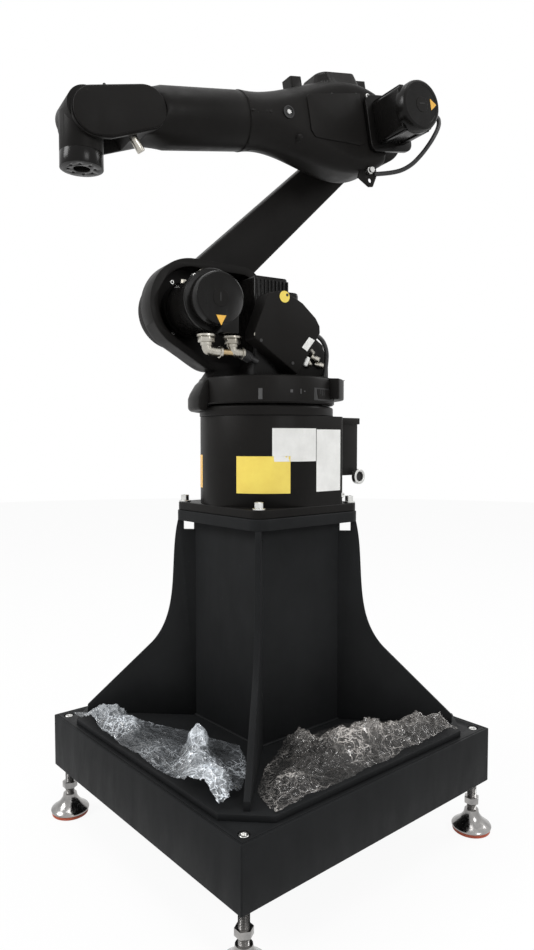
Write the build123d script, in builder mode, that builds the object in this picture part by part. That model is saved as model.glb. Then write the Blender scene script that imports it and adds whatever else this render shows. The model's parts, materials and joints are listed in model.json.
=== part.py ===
"""Six-axis industrial robot arm on a welded pedestal, in millimetres, floor at z = 0."""
import os
from math import cos, radians, sin, sqrt

from build123d import *

os.makedirs("parts", exist_ok=True)

# pedestal
FLOOR_GAP = 114.0      # underside of the base box above the floor
BOX_W = 700.0          # base box, square
BOX_H = 117.0
BOX_WALL = 6.0
BOX_CORNER_R = 3.0
FOOT_INSET = 25.0      # levelling foot centre from each side of the box
CORNER_BLOCK = 52.0    # block inside each corner that takes the levelling stud
SOCKET_R = 11.0        # hole over each stud in the top panel
FOOT_R = 42.0
PAD_T = 8.0
STUD_R = 10.0
NUT_R = 17.0
NUT_UP = 60.0
NUT_T = 14.0
BASE_PLATE_W = 668.0   # plate welded to the bottom of the column
BASE_PLATE_T = 12.0
BASE_PLATE_CUT = 68.6  # each corner cut off, clear of the stud
COL_W = 234.0          # square column
COL_H = 447.0
COL_WALL = 10.0
COL_EDGE_R = 4.0
GUSSET_T = 12.0
GUSSET_FOOT = 413.0    # reach of a gusset from the centre, along the diagonal
GUSSET_NOTCH = 22.0    # weld clearance under the top plate
TOP_PLATE_W = 300.0
TOP_PLATE_T = 23.0
TOP_PLATE_R = 30.0

# robot base
FLANGE_W = 294.0
FLANGE_T = 18.0
FLANGE_R = 25.0
BOLT_INSET = 17.0
BOLT_R = 9.0
BOLT_H = 12.0
WASHER_R = 13.0
WASHER_T = 3.0
DRUM_R = 160.0
DRUM_H = 188.0
DRUM_FOOT = 7.0        # fillet between the drum and its flange
RING_H = 22.0
RING_LIP = 2.0
CONN_REACH = 174.0     # flat rear face of the connection box, inside the sweep of the wrist
CONN_HALF_W = 114.0
CONN_UP = 59.0
CONN_H = 128.0
CONN_HOOD_T = 14.0
CONN_INSET = 36.0      # depth of the box hidden against the drum

# turning column
TABLE_GAP = 3.0
TABLE_R = 175.0
TABLE_TOP_R = 147.0
TABLE_H = 57.0
TABLE_EDGE_H = 22.0
STOP_UP = 10.0         # underside of the stop lug above the foot of the ring
A2_UP = 440.0          # shoulder axis above the robot's mounting face
A2_OUT = 165.0         # shoulder axis in front of the base axis
TUB_RIM_X = -20.0      # open rim of the shoulder casting
TUB_FLOOR_X = -62.0
TUB_BACK_X = -76.0
TUB_WALL = 17.0
TUB_R = 98.0
HUB_R = 80.0
MOTOR2_R = 52.0
MOTOR2_FLANGE_R = 62.0
MOTOR2_CAP_X = 105.0
MOTOR1_SIDE = 50.0
MOTOR1_FWD = 10.0
MOTOR1_W = 84.0
MOTOR1_L = 104.0
MOTOR1_R = 12.0
MOTOR1_TOP = 1204.0
COVER_X = 107.0        # outer face of the motor cover
COVER_DEPTH = 60.0
CABLE_R = 5.0

# upper arm and forearm
LINK_L = 630.0
LINK_W = 116.0
LINK_T = 46.0
LINK_A2_R = 80.0
LINK_A3_R = 70.0
LINK_X = -100.0        # inner face of the link arm
RUN_GAP = 0.3          # between faces that turn on each other
A4_UP = 20.0
ARM_L = 700.0          # elbow to wrist axis
TOOL_L = 100.0         # wrist axis to flange face
TUBE_R = 59.0
HOUSE_L = 360.0        # elbow to the roll seam
HOUSE_W = 120.0
ELBOW_DRUM_R = 74.0
ELBOW_NECK_R = 60.0
ELBOW_DRUM_X = 30.0
ELBOW_PLATE_X = 60.0
ELBOW_PLATE_W = 122.0
ELBOW_PLATE_T = 12.0
MOTOR3_CAP_X = 180.0
MOTOR3_R = 53.0
MOTOR3_BODY_W = 90.0
SIDE_COVER_T = 3.0
FORK_X = 43.0          # inner face of each wrist fork arm
FORK_T = 7.0
FORK_R = 44.0
FORK_ROOT = 226.0      # start of the fork, past the roll seam
THROAT_BACK = 56.0     # throat between the fork arms, behind the wrist axis
FORK_COVER_T = 6.0
WRIST_R = 38.0
NECK_R = 41.0
NECK_DROP = 72.0
TOOL_R = 41.0
SPIGOT_R = 15.75
SPIGOT_L = 12.0
TOOL_PCR = 25.0        # tool screw circle
TOOL_HOLE_R = 3.0
TOOL_HOLES = 8

# loose pieces
FILM_T = 3.0
BALL_R = 28.0
# cable routes, in the order side, forward or along, up
ELBOW_ROUTE = ((138, -52.8, -24), (147, -74, -28), (150, -78, -48), (142, -56, -80), (122, -37, -106),
               (98, -20, -124), (72, 6, -130), (47, 42, -124))
COLUMN_ROUTE = ((80, -74, 1097), (80, -92, 1092), (76, -110, 1066), (68, -114, 1034), (64, -110, 1001))

# rest pose, the pose in the photograph
A1_REST = -10.0
A2_REST = 135.6        # from straight ahead, over the top
ARM_PITCH = -10.8      # forearm, minus is nose down

# places worked out from the sizes above
Z_BOX = FLOOR_GAP + BOX_H
Z_COL = Z_BOX + BASE_PLATE_T
Z_TOP = Z_COL + COL_H
Z_ROB = Z_TOP + TOP_PLATE_T
Z_DRUM = Z_ROB + FLANGE_T
Z_RING = Z_DRUM + DRUM_H
Z_TAB = Z_RING + RING_H + TABLE_GAP
Z_DECK = Z_TAB + TABLE_H
Z_A2 = Z_ROB + A2_UP
Y_A2 = -A2_OUT
Y_A3 = Y_A2 - LINK_L * cos(radians(A2_REST))
Z_A3 = Z_A2 + LINK_L * sin(radians(A2_REST))
PITCH_C = cos(radians(ARM_PITCH))
PITCH_S = sin(radians(ARM_PITCH))
D_ARM = Vector(0, -PITCH_C, PITCH_S)
U_ARM = Vector(0, PITCH_S, PITCH_C)
C_A4 = Vector(0, Y_A3, Z_A3) + U_ARM * A4_UP
WRIST = C_A4 + D_ARM * ARM_L
FOOT_AT = BOX_W / 2 - FOOT_INSET
COL_CORNER = COL_W / sqrt(2)
CORNERS = (("front", 1, -1), ("right", 1, 1), ("rear", -1, 1), ("left", -1, -1))


# planes across the robot: local x is forward, local y is up, pushing out goes towards -X
def side_plane(side):
    return Plane(origin=(side, 0, 0), x_dir=(0, -1, 0), z_dir=(-1, 0, 0))


def arm_side(side):
    return Plane(origin=C_A4 + Vector(side, 0, 0), x_dir=D_ARM, z_dir=(-1, 0, 0))


# planes square to the forearm and level with it
def arm_plane(along):
    return Plane(origin=C_A4 + D_ARM * along, x_dir=(1, 0, 0), z_dir=D_ARM)


def arm_deck(up):
    return Plane(origin=C_A4 + U_ARM * up, x_dir=D_ARM, z_dir=U_ARM)


def save(holder, name, turned=True):
    shape = holder.part
    if turned:
        shape = shape.rotate(Axis.Z, A1_REST)
    shape.label = name
    export_step(shape, f"parts/{name}.step")


# levelling feet
for corner, sx, sy in CORNERS:
    foot_place = (sx * FOOT_AT, sy * FOOT_AT)
    with BuildPart() as foot_pad:
        with BuildSketch(Plane.XY):
            with Locations(foot_place):
                Circle(FOOT_R - 1)
        extrude(amount=PAD_T)
        chamfer(foot_pad.edges().filter_by(GeomType.CIRCLE).sort_by(Axis.Z)[0], 1.5)
    save(foot_pad, f"foot_pad_{corner}", turned=False)
    with BuildPart() as foot_stud:
        with BuildSketch(Plane(origin=(*foot_place, 0), x_dir=(1, 0, 0), z_dir=(0, -1, 0))):
            with BuildLine():
                Line((0, PAD_T), (FOOT_R, PAD_T))
                Line((FOOT_R, PAD_T), (FOOT_R + 1, PAD_T + 5))
                Spline((FOOT_R + 1, PAD_T + 5), (FOOT_R - 14, PAD_T + 17), (STUD_R + 5, PAD_T + 38))
                Line((STUD_R + 5, PAD_T + 38), (STUD_R, PAD_T + 40))
                Line((STUD_R, PAD_T + 40), (STUD_R, FLOOR_GAP))
                Line((STUD_R, FLOOR_GAP), (0, FLOOR_GAP))
                Line((0, FLOOR_GAP), (0, PAD_T))
            make_face()
        revolve(axis=Axis((*foot_place, 0), (0, 0, 1)))
        with BuildSketch(Plane.XY.offset(NUT_UP)):
            with Locations(foot_place):
                RegularPolygon(NUT_R, 6)
        extrude(amount=NUT_T)
    save(foot_stud, f"foot_stud_{corner}", turned=False)

# base box
with BuildPart() as base_box:
    with BuildSketch(Plane.XY.offset(FLOOR_GAP)):
        Rectangle(BOX_W, BOX_W)
    extrude(amount=BOX_H)
    fillet(base_box.edges().filter_by(Axis.Z), BOX_CORNER_R)
    with BuildSketch(Plane.XY.offset(FLOOR_GAP + BOX_WALL)):
        Rectangle(BOX_W - 2 * BOX_WALL, BOX_W - 2 * BOX_WALL)
    extrude(amount=BOX_H, mode=Mode.SUBTRACT)
    with BuildSketch(Plane.XY.offset(FLOOR_GAP + BOX_WALL)):
        with GridLocations(BOX_W - 2 * BOX_WALL - CORNER_BLOCK, BOX_W - 2 * BOX_WALL - CORNER_BLOCK, 2, 2):
            Rectangle(CORNER_BLOCK, CORNER_BLOCK)
    extrude(amount=BOX_H - 2 * BOX_WALL)
save(base_box, "base_box", turned=False)

with BuildPart() as box_top:
    with BuildSketch(Plane.XY.offset(Z_BOX - BOX_WALL)):
        Rectangle(BOX_W - 2 * BOX_WALL - 1, BOX_W - 2 * BOX_WALL - 1)
        with GridLocations(2 * FOOT_AT, 2 * FOOT_AT, 2, 2):
            Circle(SOCKET_R, mode=Mode.SUBTRACT)
    extrude(amount=BOX_WALL)
save(box_top, "box_top_panel", turned=False)

with BuildPart() as base_plate:
    with BuildSketch(Plane.XY.offset(Z_BOX)) as plate_outline:
        Rectangle(BASE_PLATE_W, BASE_PLATE_W)
        chamfer(plate_outline.vertices(), BASE_PLATE_CUT)
    extrude(amount=BASE_PLATE_T)
save(base_plate, "column_base_plate", turned=False)

# column and gussets
with BuildPart() as column:
    with BuildSketch(Plane.XY.offset(Z_COL)):
        RectangleRounded(COL_W, COL_W, COL_EDGE_R)
        Rectangle(COL_W - 2 * COL_WALL, COL_W - 2 * COL_WALL, mode=Mode.SUBTRACT)
    extrude(amount=COL_H)
save(column, "column", turned=False)

for corner, sx, sy in CORNERS:
    outward = Vector(sx, sy, 0).normalized()
    with BuildPart() as gusset:
        with BuildSketch(Plane(origin=(0, 0, 0), x_dir=outward, z_dir=outward.cross(Vector(0, 0, 1)))):
            with BuildLine():
                Polyline((COL_CORNER - 8, Z_COL), (GUSSET_FOOT, Z_COL), (GUSSET_FOOT, Z_COL + 17),
                         (COL_CORNER + 104, Z_COL + 158))
                Spline((COL_CORNER + 104, Z_COL + 158), (COL_CORNER + 68, Z_COL + 209),
                       (COL_CORNER + 44, Z_COL + 364), (COL_CORNER + 34, Z_TOP))
                Polyline((COL_CORNER + 34, Z_TOP), (COL_CORNER + GUSSET_NOTCH, Z_TOP),
                         (COL_CORNER + GUSSET_NOTCH, Z_TOP - GUSSET_NOTCH),
                         (COL_CORNER - 8, Z_TOP - GUSSET_NOTCH), (COL_CORNER - 8, Z_COL))
            make_face()
        extrude(amount=GUSSET_T / 2, both=True)
        with BuildSketch(Plane.XY.offset(Z_COL)):
            RectangleRounded(COL_W, COL_W, COL_EDGE_R)
        extrude(amount=COL_H, mode=Mode.SUBTRACT)
    save(gusset, f"gusset_{corner}", turned=False)

with BuildPart() as top_plate:
    with BuildSketch(Plane.XY.offset(Z_TOP)):
        RectangleRounded(TOP_PLATE_W, TOP_PLATE_W, TOP_PLATE_R)
    extrude(amount=TOP_PLATE_T)
    chamfer(top_plate.faces().sort_by(Axis.Z)[-1].edges(), 1.5)
save(top_plate, "top_plate", turned=False)

# robot base
with BuildPart() as robot_base:
    with BuildSketch(Plane.XY.offset(Z_ROB)):
        RectangleRounded(FLANGE_W, FLANGE_W, FLANGE_R)
    extrude(amount=FLANGE_T)
    with BuildSketch(Plane.XY.offset(Z_DRUM)):
        Circle(DRUM_R)
        RectangleRounded(FLANGE_W, FLANGE_W, FLANGE_R, mode=Mode.INTERSECT)
    extrude(amount=DRUM_FOOT)
    with BuildSketch(Plane.XY.offset(Z_DRUM)):
        Circle(DRUM_R)
    extrude(amount=DRUM_H)
save(robot_base, "robot_base", turned=False)

with BuildPart() as base_ring:
    with BuildSketch(Plane.XY.offset(Z_RING)):
        Circle(DRUM_R + RING_LIP)
    extrude(amount=RING_H)
    chamfer(base_ring.edges().sort_by(Axis.Z)[-1], 2)
save(base_ring, "base_ring", turned=False)

bolt_at = FLANGE_W / 2 - BOLT_INSET
for corner, sx, sy in CORNERS:
    with BuildPart() as bolt:
        with BuildSketch(Plane.XY.offset(Z_DRUM)):
            with Locations((sx * bolt_at, sy * bolt_at)):
                Circle(WASHER_R)
        extrude(amount=WASHER_T)
        with BuildSketch(Plane.XY.offset(Z_DRUM + WASHER_T)):
            with Locations((sx * bolt_at, sy * bolt_at)):
                Circle(BOLT_R)
        extrude(amount=BOLT_H)
        with BuildSketch(Plane.XY.offset(Z_DRUM + WASHER_T + BOLT_H)):
            with Locations((sx * bolt_at, sy * bolt_at)):
                RegularPolygon(BOLT_R / 2, 6)
        extrude(amount=-BOLT_H / 2, mode=Mode.SUBTRACT)
    save(bolt, f"anchor_bolt_{corner}", turned=False)

with BuildPart() as connection_box:
    with BuildSketch(Plane.XY.offset(Z_DRUM + CONN_UP)):
        with Locations((0, CONN_REACH / 2)):
            Rectangle(2 * CONN_HALF_W, CONN_REACH)
        Circle(DRUM_R, mode=Mode.SUBTRACT)
        with Locations((0, DRUM_R / 4)):
            Rectangle(3 * DRUM_R, DRUM_R / 2 + CONN_INSET, mode=Mode.SUBTRACT)
    extrude(amount=CONN_H - CONN_HOOD_T)
    with BuildSketch(Plane.XY.offset(Z_DRUM + CONN_UP + CONN_H - CONN_HOOD_T)):
        with Locations((0, CONN_REACH / 2)):
            Rectangle(2 * CONN_HALF_W + CONN_HOOD_T, CONN_REACH)
        Circle(DRUM_R, mode=Mode.SUBTRACT)
        with Locations((0, DRUM_R / 4)):
            Rectangle(3 * DRUM_R, DRUM_R / 2 + CONN_INSET, mode=Mode.SUBTRACT)
    extrude(amount=CONN_HOOD_T)
save(connection_box, "connection_box", turned=False)


# turning column: turntable, shoulder tub and hub
def tub_outline(inset=0):
    with Locations((A2_OUT, Z_A2)):
        Circle(TUB_R - inset)
    with Locations((A2_OUT - 50, Z_DECK + 80)):
        Circle(62 - inset)
    with Locations((A2_OUT - 115, Z_A2 + 41)):
        Circle(54 - inset)
    with Locations((-50, Z_DECK + 75)):
        Circle(60 - inset)
    make_hull()


with BuildPart() as turning_column:
    with BuildSketch(Plane.XZ):
        with BuildLine():
            Polyline((0, Z_TAB), (TABLE_R - 16, Z_TAB), (TABLE_R, Z_TAB + 6), (TABLE_R, Z_TAB + TABLE_EDGE_H),
                     (TABLE_TOP_R, Z_DECK), (0, Z_DECK), (0, Z_TAB))
        make_face()
    revolve(axis=Axis.Z)
    with BuildSketch(Plane.XY.offset(Z_RING + RING_H)):
        Circle(DRUM_R - 20)
    extrude(amount=TABLE_GAP)
    # the rear of the table stands at full height
    with BuildSketch(Plane.XY.offset(Z_TAB + TABLE_EDGE_H - 1)):
        Circle(TABLE_R - 0.5)
        with Locations((0, TABLE_R * 0.7)):
            Rectangle(TABLE_R, TABLE_R, mode=Mode.INTERSECT)
    extrude(amount=TABLE_H - TABLE_EDGE_H + 1)
    # stop lug that hangs beside the base ring
    with BuildSketch(Plane.XY.offset(Z_RING + STOP_UP)):
        Circle(TABLE_R - 1)
        Circle(DRUM_R + RING_LIP + 1.5, mode=Mode.SUBTRACT)
        with BuildLine():
            Polyline((0, 0), (0, -2 * TABLE_R), (-2 * TABLE_R, -1.7 * TABLE_R), (0, 0))
        make_face(mode=Mode.INTERSECT)
    extrude(amount=Z_TAB - Z_RING - STOP_UP + 9)
    with BuildSketch(side_plane(TUB_RIM_X)):
        tub_outline()
    extrude(amount=TUB_RIM_X - TUB_BACK_X)
    fillet(turning_column.faces().filter_by(Axis.X).sort_by(Axis.X)[0].edges(), 12)
    with BuildSketch(side_plane(TUB_RIM_X)):
        with BuildLine():
            Polyline((A2_OUT - 35, Z_DECK - 5), (A2_OUT - 60, Z_DECK + 30), (-100, Z_DECK + 40),
                     (-120, Z_DECK - 5), (A2_OUT - 35, Z_DECK - 5))
        make_face()
    extrude(amount=TUB_RIM_X - TUB_BACK_X)
    with BuildSketch(side_plane(TUB_RIM_X)):
        tub_outline(TUB_WALL)
    extrude(amount=TUB_RIM_X - TUB_FLOOR_X, mode=Mode.SUBTRACT)
    with BuildSketch(side_plane(TUB_BACK_X)):
        with Locations((A2_OUT, Z_A2)):
            Circle(HUB_R)
    extrude(amount=TUB_BACK_X - LINK_X - RUN_GAP)
save(turning_column, "turning_column")

with BuildPart() as shoulder_motor:
    with BuildSketch(side_plane(MOTOR2_CAP_X)):
        with Locations((A2_OUT, Z_A2)):
            Circle(MOTOR2_R)
    extrude(amount=MOTOR2_CAP_X - TUB_FLOOR_X)
    fillet(shoulder_motor.faces().sort_by(Axis.X)[-1].edges(), 9)
    with BuildSketch(side_plane(50)):
        with Locations((A2_OUT, Z_A2)):
            Circle(MOTOR2_FLANGE_R)
    extrude(amount=12)
    with BuildSketch(side_plane(95)):
        with Locations((A2_OUT - 31, Z_A2 - 48)):
            Rectangle(44, 42)
    extrude(amount=36)
save(shoulder_motor, "shoulder_motor")

with BuildPart() as shoulder_connectors:
    with BuildSketch(side_plane(92)):
        with Locations((A2_OUT + 20, Z_A2 - 84), (A2_OUT - 38, Z_A2 - 80)):
            Rectangle(33, 14)
        with Locations((A2_OUT + 18, Z_A2 - 103), (A2_OUT - 40, Z_A2 - 98)):
            Rectangle(22, 26)
        with Locations((A2_OUT - 10, Z_A2 - 76)):
            Rectangle(92, 4)
        with Locations((A2_OUT + 20, Z_A2 - 64)):
            Rectangle(33, 28)
    extrude(amount=24)
    with BuildSketch(side_plane(92)):
        with Locations((A2_OUT, Z_A2)):
            Circle(MOTOR2_R)
        with Locations((A2_OUT - 31, Z_A2 - 48)):
            Rectangle(44, 42)
    extrude(amount=24, mode=Mode.SUBTRACT)
save(shoulder_connectors, "shoulder_connectors")

with BuildPart() as base_motor:
    with BuildSketch(Plane.XY.offset(Z_DECK)):
        with Locations((MOTOR1_SIDE, -MOTOR1_FWD)):
            RectangleRounded(MOTOR1_W, MOTOR1_L, MOTOR1_R)
    extrude(amount=MOTOR1_TOP - Z_DECK)
    chamfer(base_motor.faces().sort_by(Axis.Z)[-1].edges(), 9)
save(base_motor, "base_motor")

with BuildPart() as motor_cover:
    with BuildSketch(side_plane(COVER_X)):
        with BuildLine():
            Polyline((59, Z_A2 + 18), (40, Z_A2 + 22), (1, Z_A2 + 15), (-45, Z_A2 - 11), (-66, Z_A2 - 30),
                     (-75, Z_A2 - 50), (-71, Z_A2 - 63), (-10, Z_A2 - 136), (4, Z_A2 - 131),
                     (52, Z_A2 - 103), (85, Z_A2 - 87), (87, Z_A2 - 73), (71, Z_A2 - 41), (59, Z_A2 + 18))
        make_face()
    extrude(amount=COVER_DEPTH)
    chamfer(motor_cover.faces().sort_by(Axis.X)[-1].edges(), 4)
    with BuildSketch(Plane.XY.offset(Z_DECK)):
        with Locations((MOTOR1_SIDE, -MOTOR1_FWD)):
            RectangleRounded(MOTOR1_W, MOTOR1_L, MOTOR1_R)
    extrude(amount=MOTOR1_TOP - Z_DECK, mode=Mode.SUBTRACT)
save(motor_cover, "motor_cover")

# link arm
with BuildPart() as link_arm:
    with BuildSketch(side_plane(LINK_X)):
        with Locations((A2_OUT, Z_A2)):
            Circle(LINK_A2_R)
        with Locations((-Y_A3, Z_A3)):
            Circle(LINK_A3_R)
        with Locations(Location(((A2_OUT - Y_A3) / 2, (Z_A2 + Z_A3) / 2, 0), (0, 0, A2_REST))):
            Rectangle(LINK_L, LINK_W)
    extrude(amount=LINK_T)
    fillet(link_arm.faces().sort_by(Axis.X)[0].edges(), 8)
    chamfer(link_arm.faces().sort_by(Axis.X)[-1].edges(), 3)
save(link_arm, "link_arm")

# arm housing: a lofted casting from the elbow to the roll seam
HOUSE_SECTIONS = (      # distance from the elbow, underside, top, corner radius
    (12.0, -103.0, 56.0, 24.0),
    (105.0, -117.0, 80.0, 30.0),
    (215.0, -86.0, 69.0, 48.0),
    (HOUSE_L, -TUBE_R - 1, TUBE_R + 1, TUBE_R + 0.5),
)
with BuildPart() as arm_housing:
    for along, low, high, corner_r in HOUSE_SECTIONS:
        with BuildSketch(arm_plane(along)):
            with Locations((0, (low + high) / 2)):
                width = min(HOUSE_W, 2 * (corner_r + 0.5)) if along == HOUSE_L else HOUSE_W
                RectangleRounded(width, high - low, corner_r)
    loft()
    for side in (HOUSE_W, -HOUSE_W / 2):
        with BuildSketch(arm_side(side)):
            Rectangle(2 * HOUSE_L, HOUSE_L)
        extrude(amount=HOUSE_W / 2, mode=Mode.SUBTRACT)
    with BuildSketch(side_plane(LINK_X + RUN_GAP)):
        with Locations((-Y_A3, Z_A3)):
            Circle(ELBOW_DRUM_R)
    extrude(amount=LINK_X + RUN_GAP - ELBOW_DRUM_X)
    with BuildSketch(side_plane(ELBOW_PLATE_X)):
        with Locations((-Y_A3, Z_A3)):
            Circle(ELBOW_NECK_R)
    extrude(amount=ELBOW_PLATE_X)
    # cap over the wrist drives, and the lifting lugs
    with BuildSketch(arm_deck(70)):
        with Locations((100, 0)):
            RectangleRounded(124, 96, 30)
    extrude(amount=28, taper=18)
    with BuildSketch(arm_deck(50)):
        with Locations((203, 0), (22, 0)):
            RectangleRounded(30, 36, 4)
    extrude(amount=43)
    # threaded pad behind the cover panel
    with BuildSketch(arm_side(ELBOW_PLATE_X)):
        with Locations((245, -51)):
            Circle(7)
    extrude(amount=30)
save(arm_housing, "arm_housing")

with BuildPart() as housing_cover:
    with BuildSketch(arm_side(HOUSE_W / 2 + SIDE_COVER_T)):
        with BuildLine():
            Polyline((68, 46), (206, 38))
            TangentArc((206, 38), (214, 30), tangent=(1, -0.06))
            Polyline((214, 30), (215, -36), (206, -50), (166, -56), (125, -60), (87, -66), (68, -60), (68, 46))
        make_face()
    extrude(amount=SIDE_COVER_T)
save(housing_cover, "housing_cover")

with BuildPart() as elbow_bracket:
    with BuildSketch(arm_side(47)):
        with BuildLine():
            Polyline((34, -92), (80, -92), (80, -108), (92, -130), (64, -152), (52, -152), (36, -128), (34, -92))
        make_face()
        with Locations((58, -138)):
            Circle(5, mode=Mode.SUBTRACT)
    extrude(amount=4)
    add(arm_housing.part, mode=Mode.SUBTRACT)
save(elbow_bracket, "elbow_bracket")

with BuildPart() as elbow_motor:
    with BuildSketch(arm_side(ELBOW_PLATE_X + ELBOW_PLATE_T)):
        with Locations((0, -A4_UP)):
            RectangleRounded(ELBOW_PLATE_W, ELBOW_PLATE_W, 18)
    extrude(amount=ELBOW_PLATE_T)
    with BuildSketch(side_plane(MOTOR3_CAP_X)):
        with Locations((-Y_A3, Z_A3)):
            Circle(MOTOR3_R)
    extrude(amount=MOTOR3_CAP_X - ELBOW_PLATE_X - ELBOW_PLATE_T)
    fillet(elbow_motor.faces().sort_by(Axis.X)[-1].edges(), 9)
    with BuildSketch(arm_side(MOTOR3_CAP_X - 20)):
        with Locations((0, -A4_UP)):
            RectangleRounded(MOTOR3_BODY_W, MOTOR3_BODY_W, 6)
    extrude(amount=MOTOR3_CAP_X - 20 - ELBOW_PLATE_X - ELBOW_PLATE_T)
save(elbow_motor, "elbow_motor")

# forearm, round with a forked end
def fork_outline(inset=0):
    with Locations((HOUSE_L + FORK_ROOT, 0)):
        Circle(FORK_R - 2 - inset)
    with Locations((ARM_L - 12, -11)):
        Circle(FORK_R + 2 - inset)
    with Locations((ARM_L - 30, -18)):
        Circle(FORK_R - 4 - inset)
    make_hull()


with BuildPart() as forearm:
    with BuildSketch(arm_plane(HOUSE_L + 1)):
        Circle(TUBE_R)
    extrude(amount=175)
    with BuildSketch(arm_plane(HOUSE_L + 176)):
        Circle(TUBE_R)
    with BuildSketch(arm_plane(HOUSE_L + 230)):
        RectangleRounded(2 * (FORK_X + FORK_T), 2 * FORK_R, 20)
    loft()
    with BuildSketch(arm_side(FORK_X + FORK_T)):
        fork_outline()
    extrude(amount=2 * (FORK_X + FORK_T))
    with BuildSketch(arm_side(FORK_X)):
        with BuildLine():
            Polyline((ARM_L + 60, -60), (ARM_L + 60, 60), (ARM_L - THROAT_BACK - 35, 60),
                     (ARM_L - THROAT_BACK, 0), (ARM_L - THROAT_BACK - 35, -60), (ARM_L + 60, -60))
        make_face()
    extrude(amount=2 * FORK_X, mode=Mode.SUBTRACT)
    for side in (FORK_X + FORK_T + 2 * FORK_COVER_T, -FORK_X - FORK_T):
        with BuildSketch(arm_side(side)):
            fork_outline(2)
        extrude(amount=2 * FORK_COVER_T, mode=Mode.SUBTRACT)
save(forearm, "forearm")

for name, outer_x, inner_x in (("wrist_cover_near", FORK_X + FORK_T + FORK_COVER_T, FORK_X + FORK_T),
                               ("wrist_cover_far", -FORK_X - FORK_T, -FORK_X - FORK_T - FORK_COVER_T)):
    with BuildPart() as wrist_cover:
        with BuildSketch(arm_side(outer_x)):
            fork_outline(2)
        extrude(amount=outer_x - inner_x)
    save(wrist_cover, name)

with BuildPart() as gauge_cartridge:
    with BuildSketch(Plane(origin=C_A4 + D_ARM * 622 - U_ARM * 36 + Vector(30, 0, 0),
                           x_dir=(1, 0, 0), z_dir=-U_ARM + D_ARM * -0.45)):
        Circle(8)
    extrude(amount=44)
    with BuildSketch(arm_side(FORK_X + FORK_T)):
        fork_outline()
    extrude(amount=2 * (FORK_X + FORK_T), mode=Mode.SUBTRACT)
save(gauge_cartridge, "gauge_cartridge")

# wrist and tool flange
with BuildPart() as wrist:
    with BuildSketch(side_plane(FORK_X - RUN_GAP)):
        with Locations((-WRIST.Y, WRIST.Z)):
            Circle(WRIST_R)
    extrude(amount=2 * (FORK_X - RUN_GAP))
    with BuildSketch(Plane.XY.offset(WRIST.Z)):
        with Locations((0, WRIST.Y)):
            Circle(NECK_R)
    extrude(amount=-NECK_DROP)
save(wrist, "wrist")

with BuildPart() as tool_flange:
    with BuildSketch(Plane.XY.offset(WRIST.Z - NECK_DROP)):
        with Locations((0, WRIST.Y)):
            Circle(TOOL_R)
    extrude(amount=NECK_DROP - TOOL_L)
    with Locations(Location((0, WRIST.Y, WRIST.Z - TOOL_L), (180, 0, 0))):
        Hole(SPIGOT_R, SPIGOT_L)
        with PolarLocations(TOOL_PCR, TOOL_HOLES, 22.5):
            Hole(TOOL_HOLE_R, SPIGOT_L)
save(tool_flange, "tool_flange")

# stretch film left lying on the plate: sheets with heaps pushed up in them, each at x, y with its reach and height
LEFT_FILM = ((-290, -330), (262, -330), (235, -262), (170, -192), (90, -150), (-40, -190), (-180, -250))
LEFT_HEAPS = ((-190, -292, 46, 44), (-112, -285, 40, 28), (190, -280, 56, 40), (118, -264, 44, 22),
              (0, -285, 48, 16))
RIGHT_FILM = ((330, -262), (330, 262), (290, 258), (200, 168), (150, 100), (140, -60), (200, -172), (262, -242))
RIGHT_HEAPS = ((258, -20, 68, 72), (184, -70, 36, 36), (280, 92, 52, 38), (286, 168, 46, 44),
               (304, 222, 30, 34), (286, -180, 42, 24), (250, -120, 40, 20))
for name, outline, heaps in (("film_left", LEFT_FILM, LEFT_HEAPS), ("film_right", RIGHT_FILM, RIGHT_HEAPS)):
    with BuildPart() as film:
        with BuildSketch(Plane.XY.offset(Z_COL)):
            with BuildLine():
                Polyline(*outline, outline[0])
            make_face()
        extrude(amount=FILM_T)
        for x, y, heap_r, heap_h in heaps:
            ball_r = (heap_r**2 + heap_h**2) / (2 * heap_h)
            with Locations((x, y, Z_COL + heap_h - ball_r)):
                Sphere(ball_r)
        with Locations((0, 0, Z_COL - BOX_W / 2)):
            Box(2 * BOX_W, 2 * BOX_W, BOX_W, mode=Mode.SUBTRACT)
    save(film, name, turned=False)

with BuildPart() as film_ball:
    with Locations((69, -237, Z_COL + FILM_T + BALL_R)):
        Sphere(BALL_R)
save(film_ball, "film_ball", turned=False)

# cables
with BuildPart() as elbow_cable:
    with BuildLine() as cable_route:
        Spline(*[C_A4 + D_ARM * along + U_ARM * up + Vector(side, 0, 0) for side, along, up in ELBOW_ROUTE],
               tangents=(-D_ARM, (-1, 0, 0)))
    with BuildSketch(Plane(origin=cable_route.line @ 0, z_dir=cable_route.line % 0)):
        Circle(CABLE_R)
    sweep()
save(elbow_cable, "elbow_cable")

with BuildPart() as column_cable:
    with BuildLine() as wire_route:
        Spline(*[(side, -forward, up) for side, forward, up in COLUMN_ROUTE],
               tangents=((0, 1, 0), (0, 0, -1)))
    with BuildSketch(Plane(origin=wire_route.line @ 0, z_dir=wire_route.line % 0)):
        Circle(CABLE_R)
    sweep()
save(column_cable, "column_cable")
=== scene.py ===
"""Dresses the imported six-axis robot arm: finishes, fasteners, motors, cables and stretch film."""
import json
from math import atan2, cos, degrees, exp, hypot, pi, radians, sin, tau

import bmesh
import bpy
from mathutils import Matrix, Vector, noise

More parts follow.
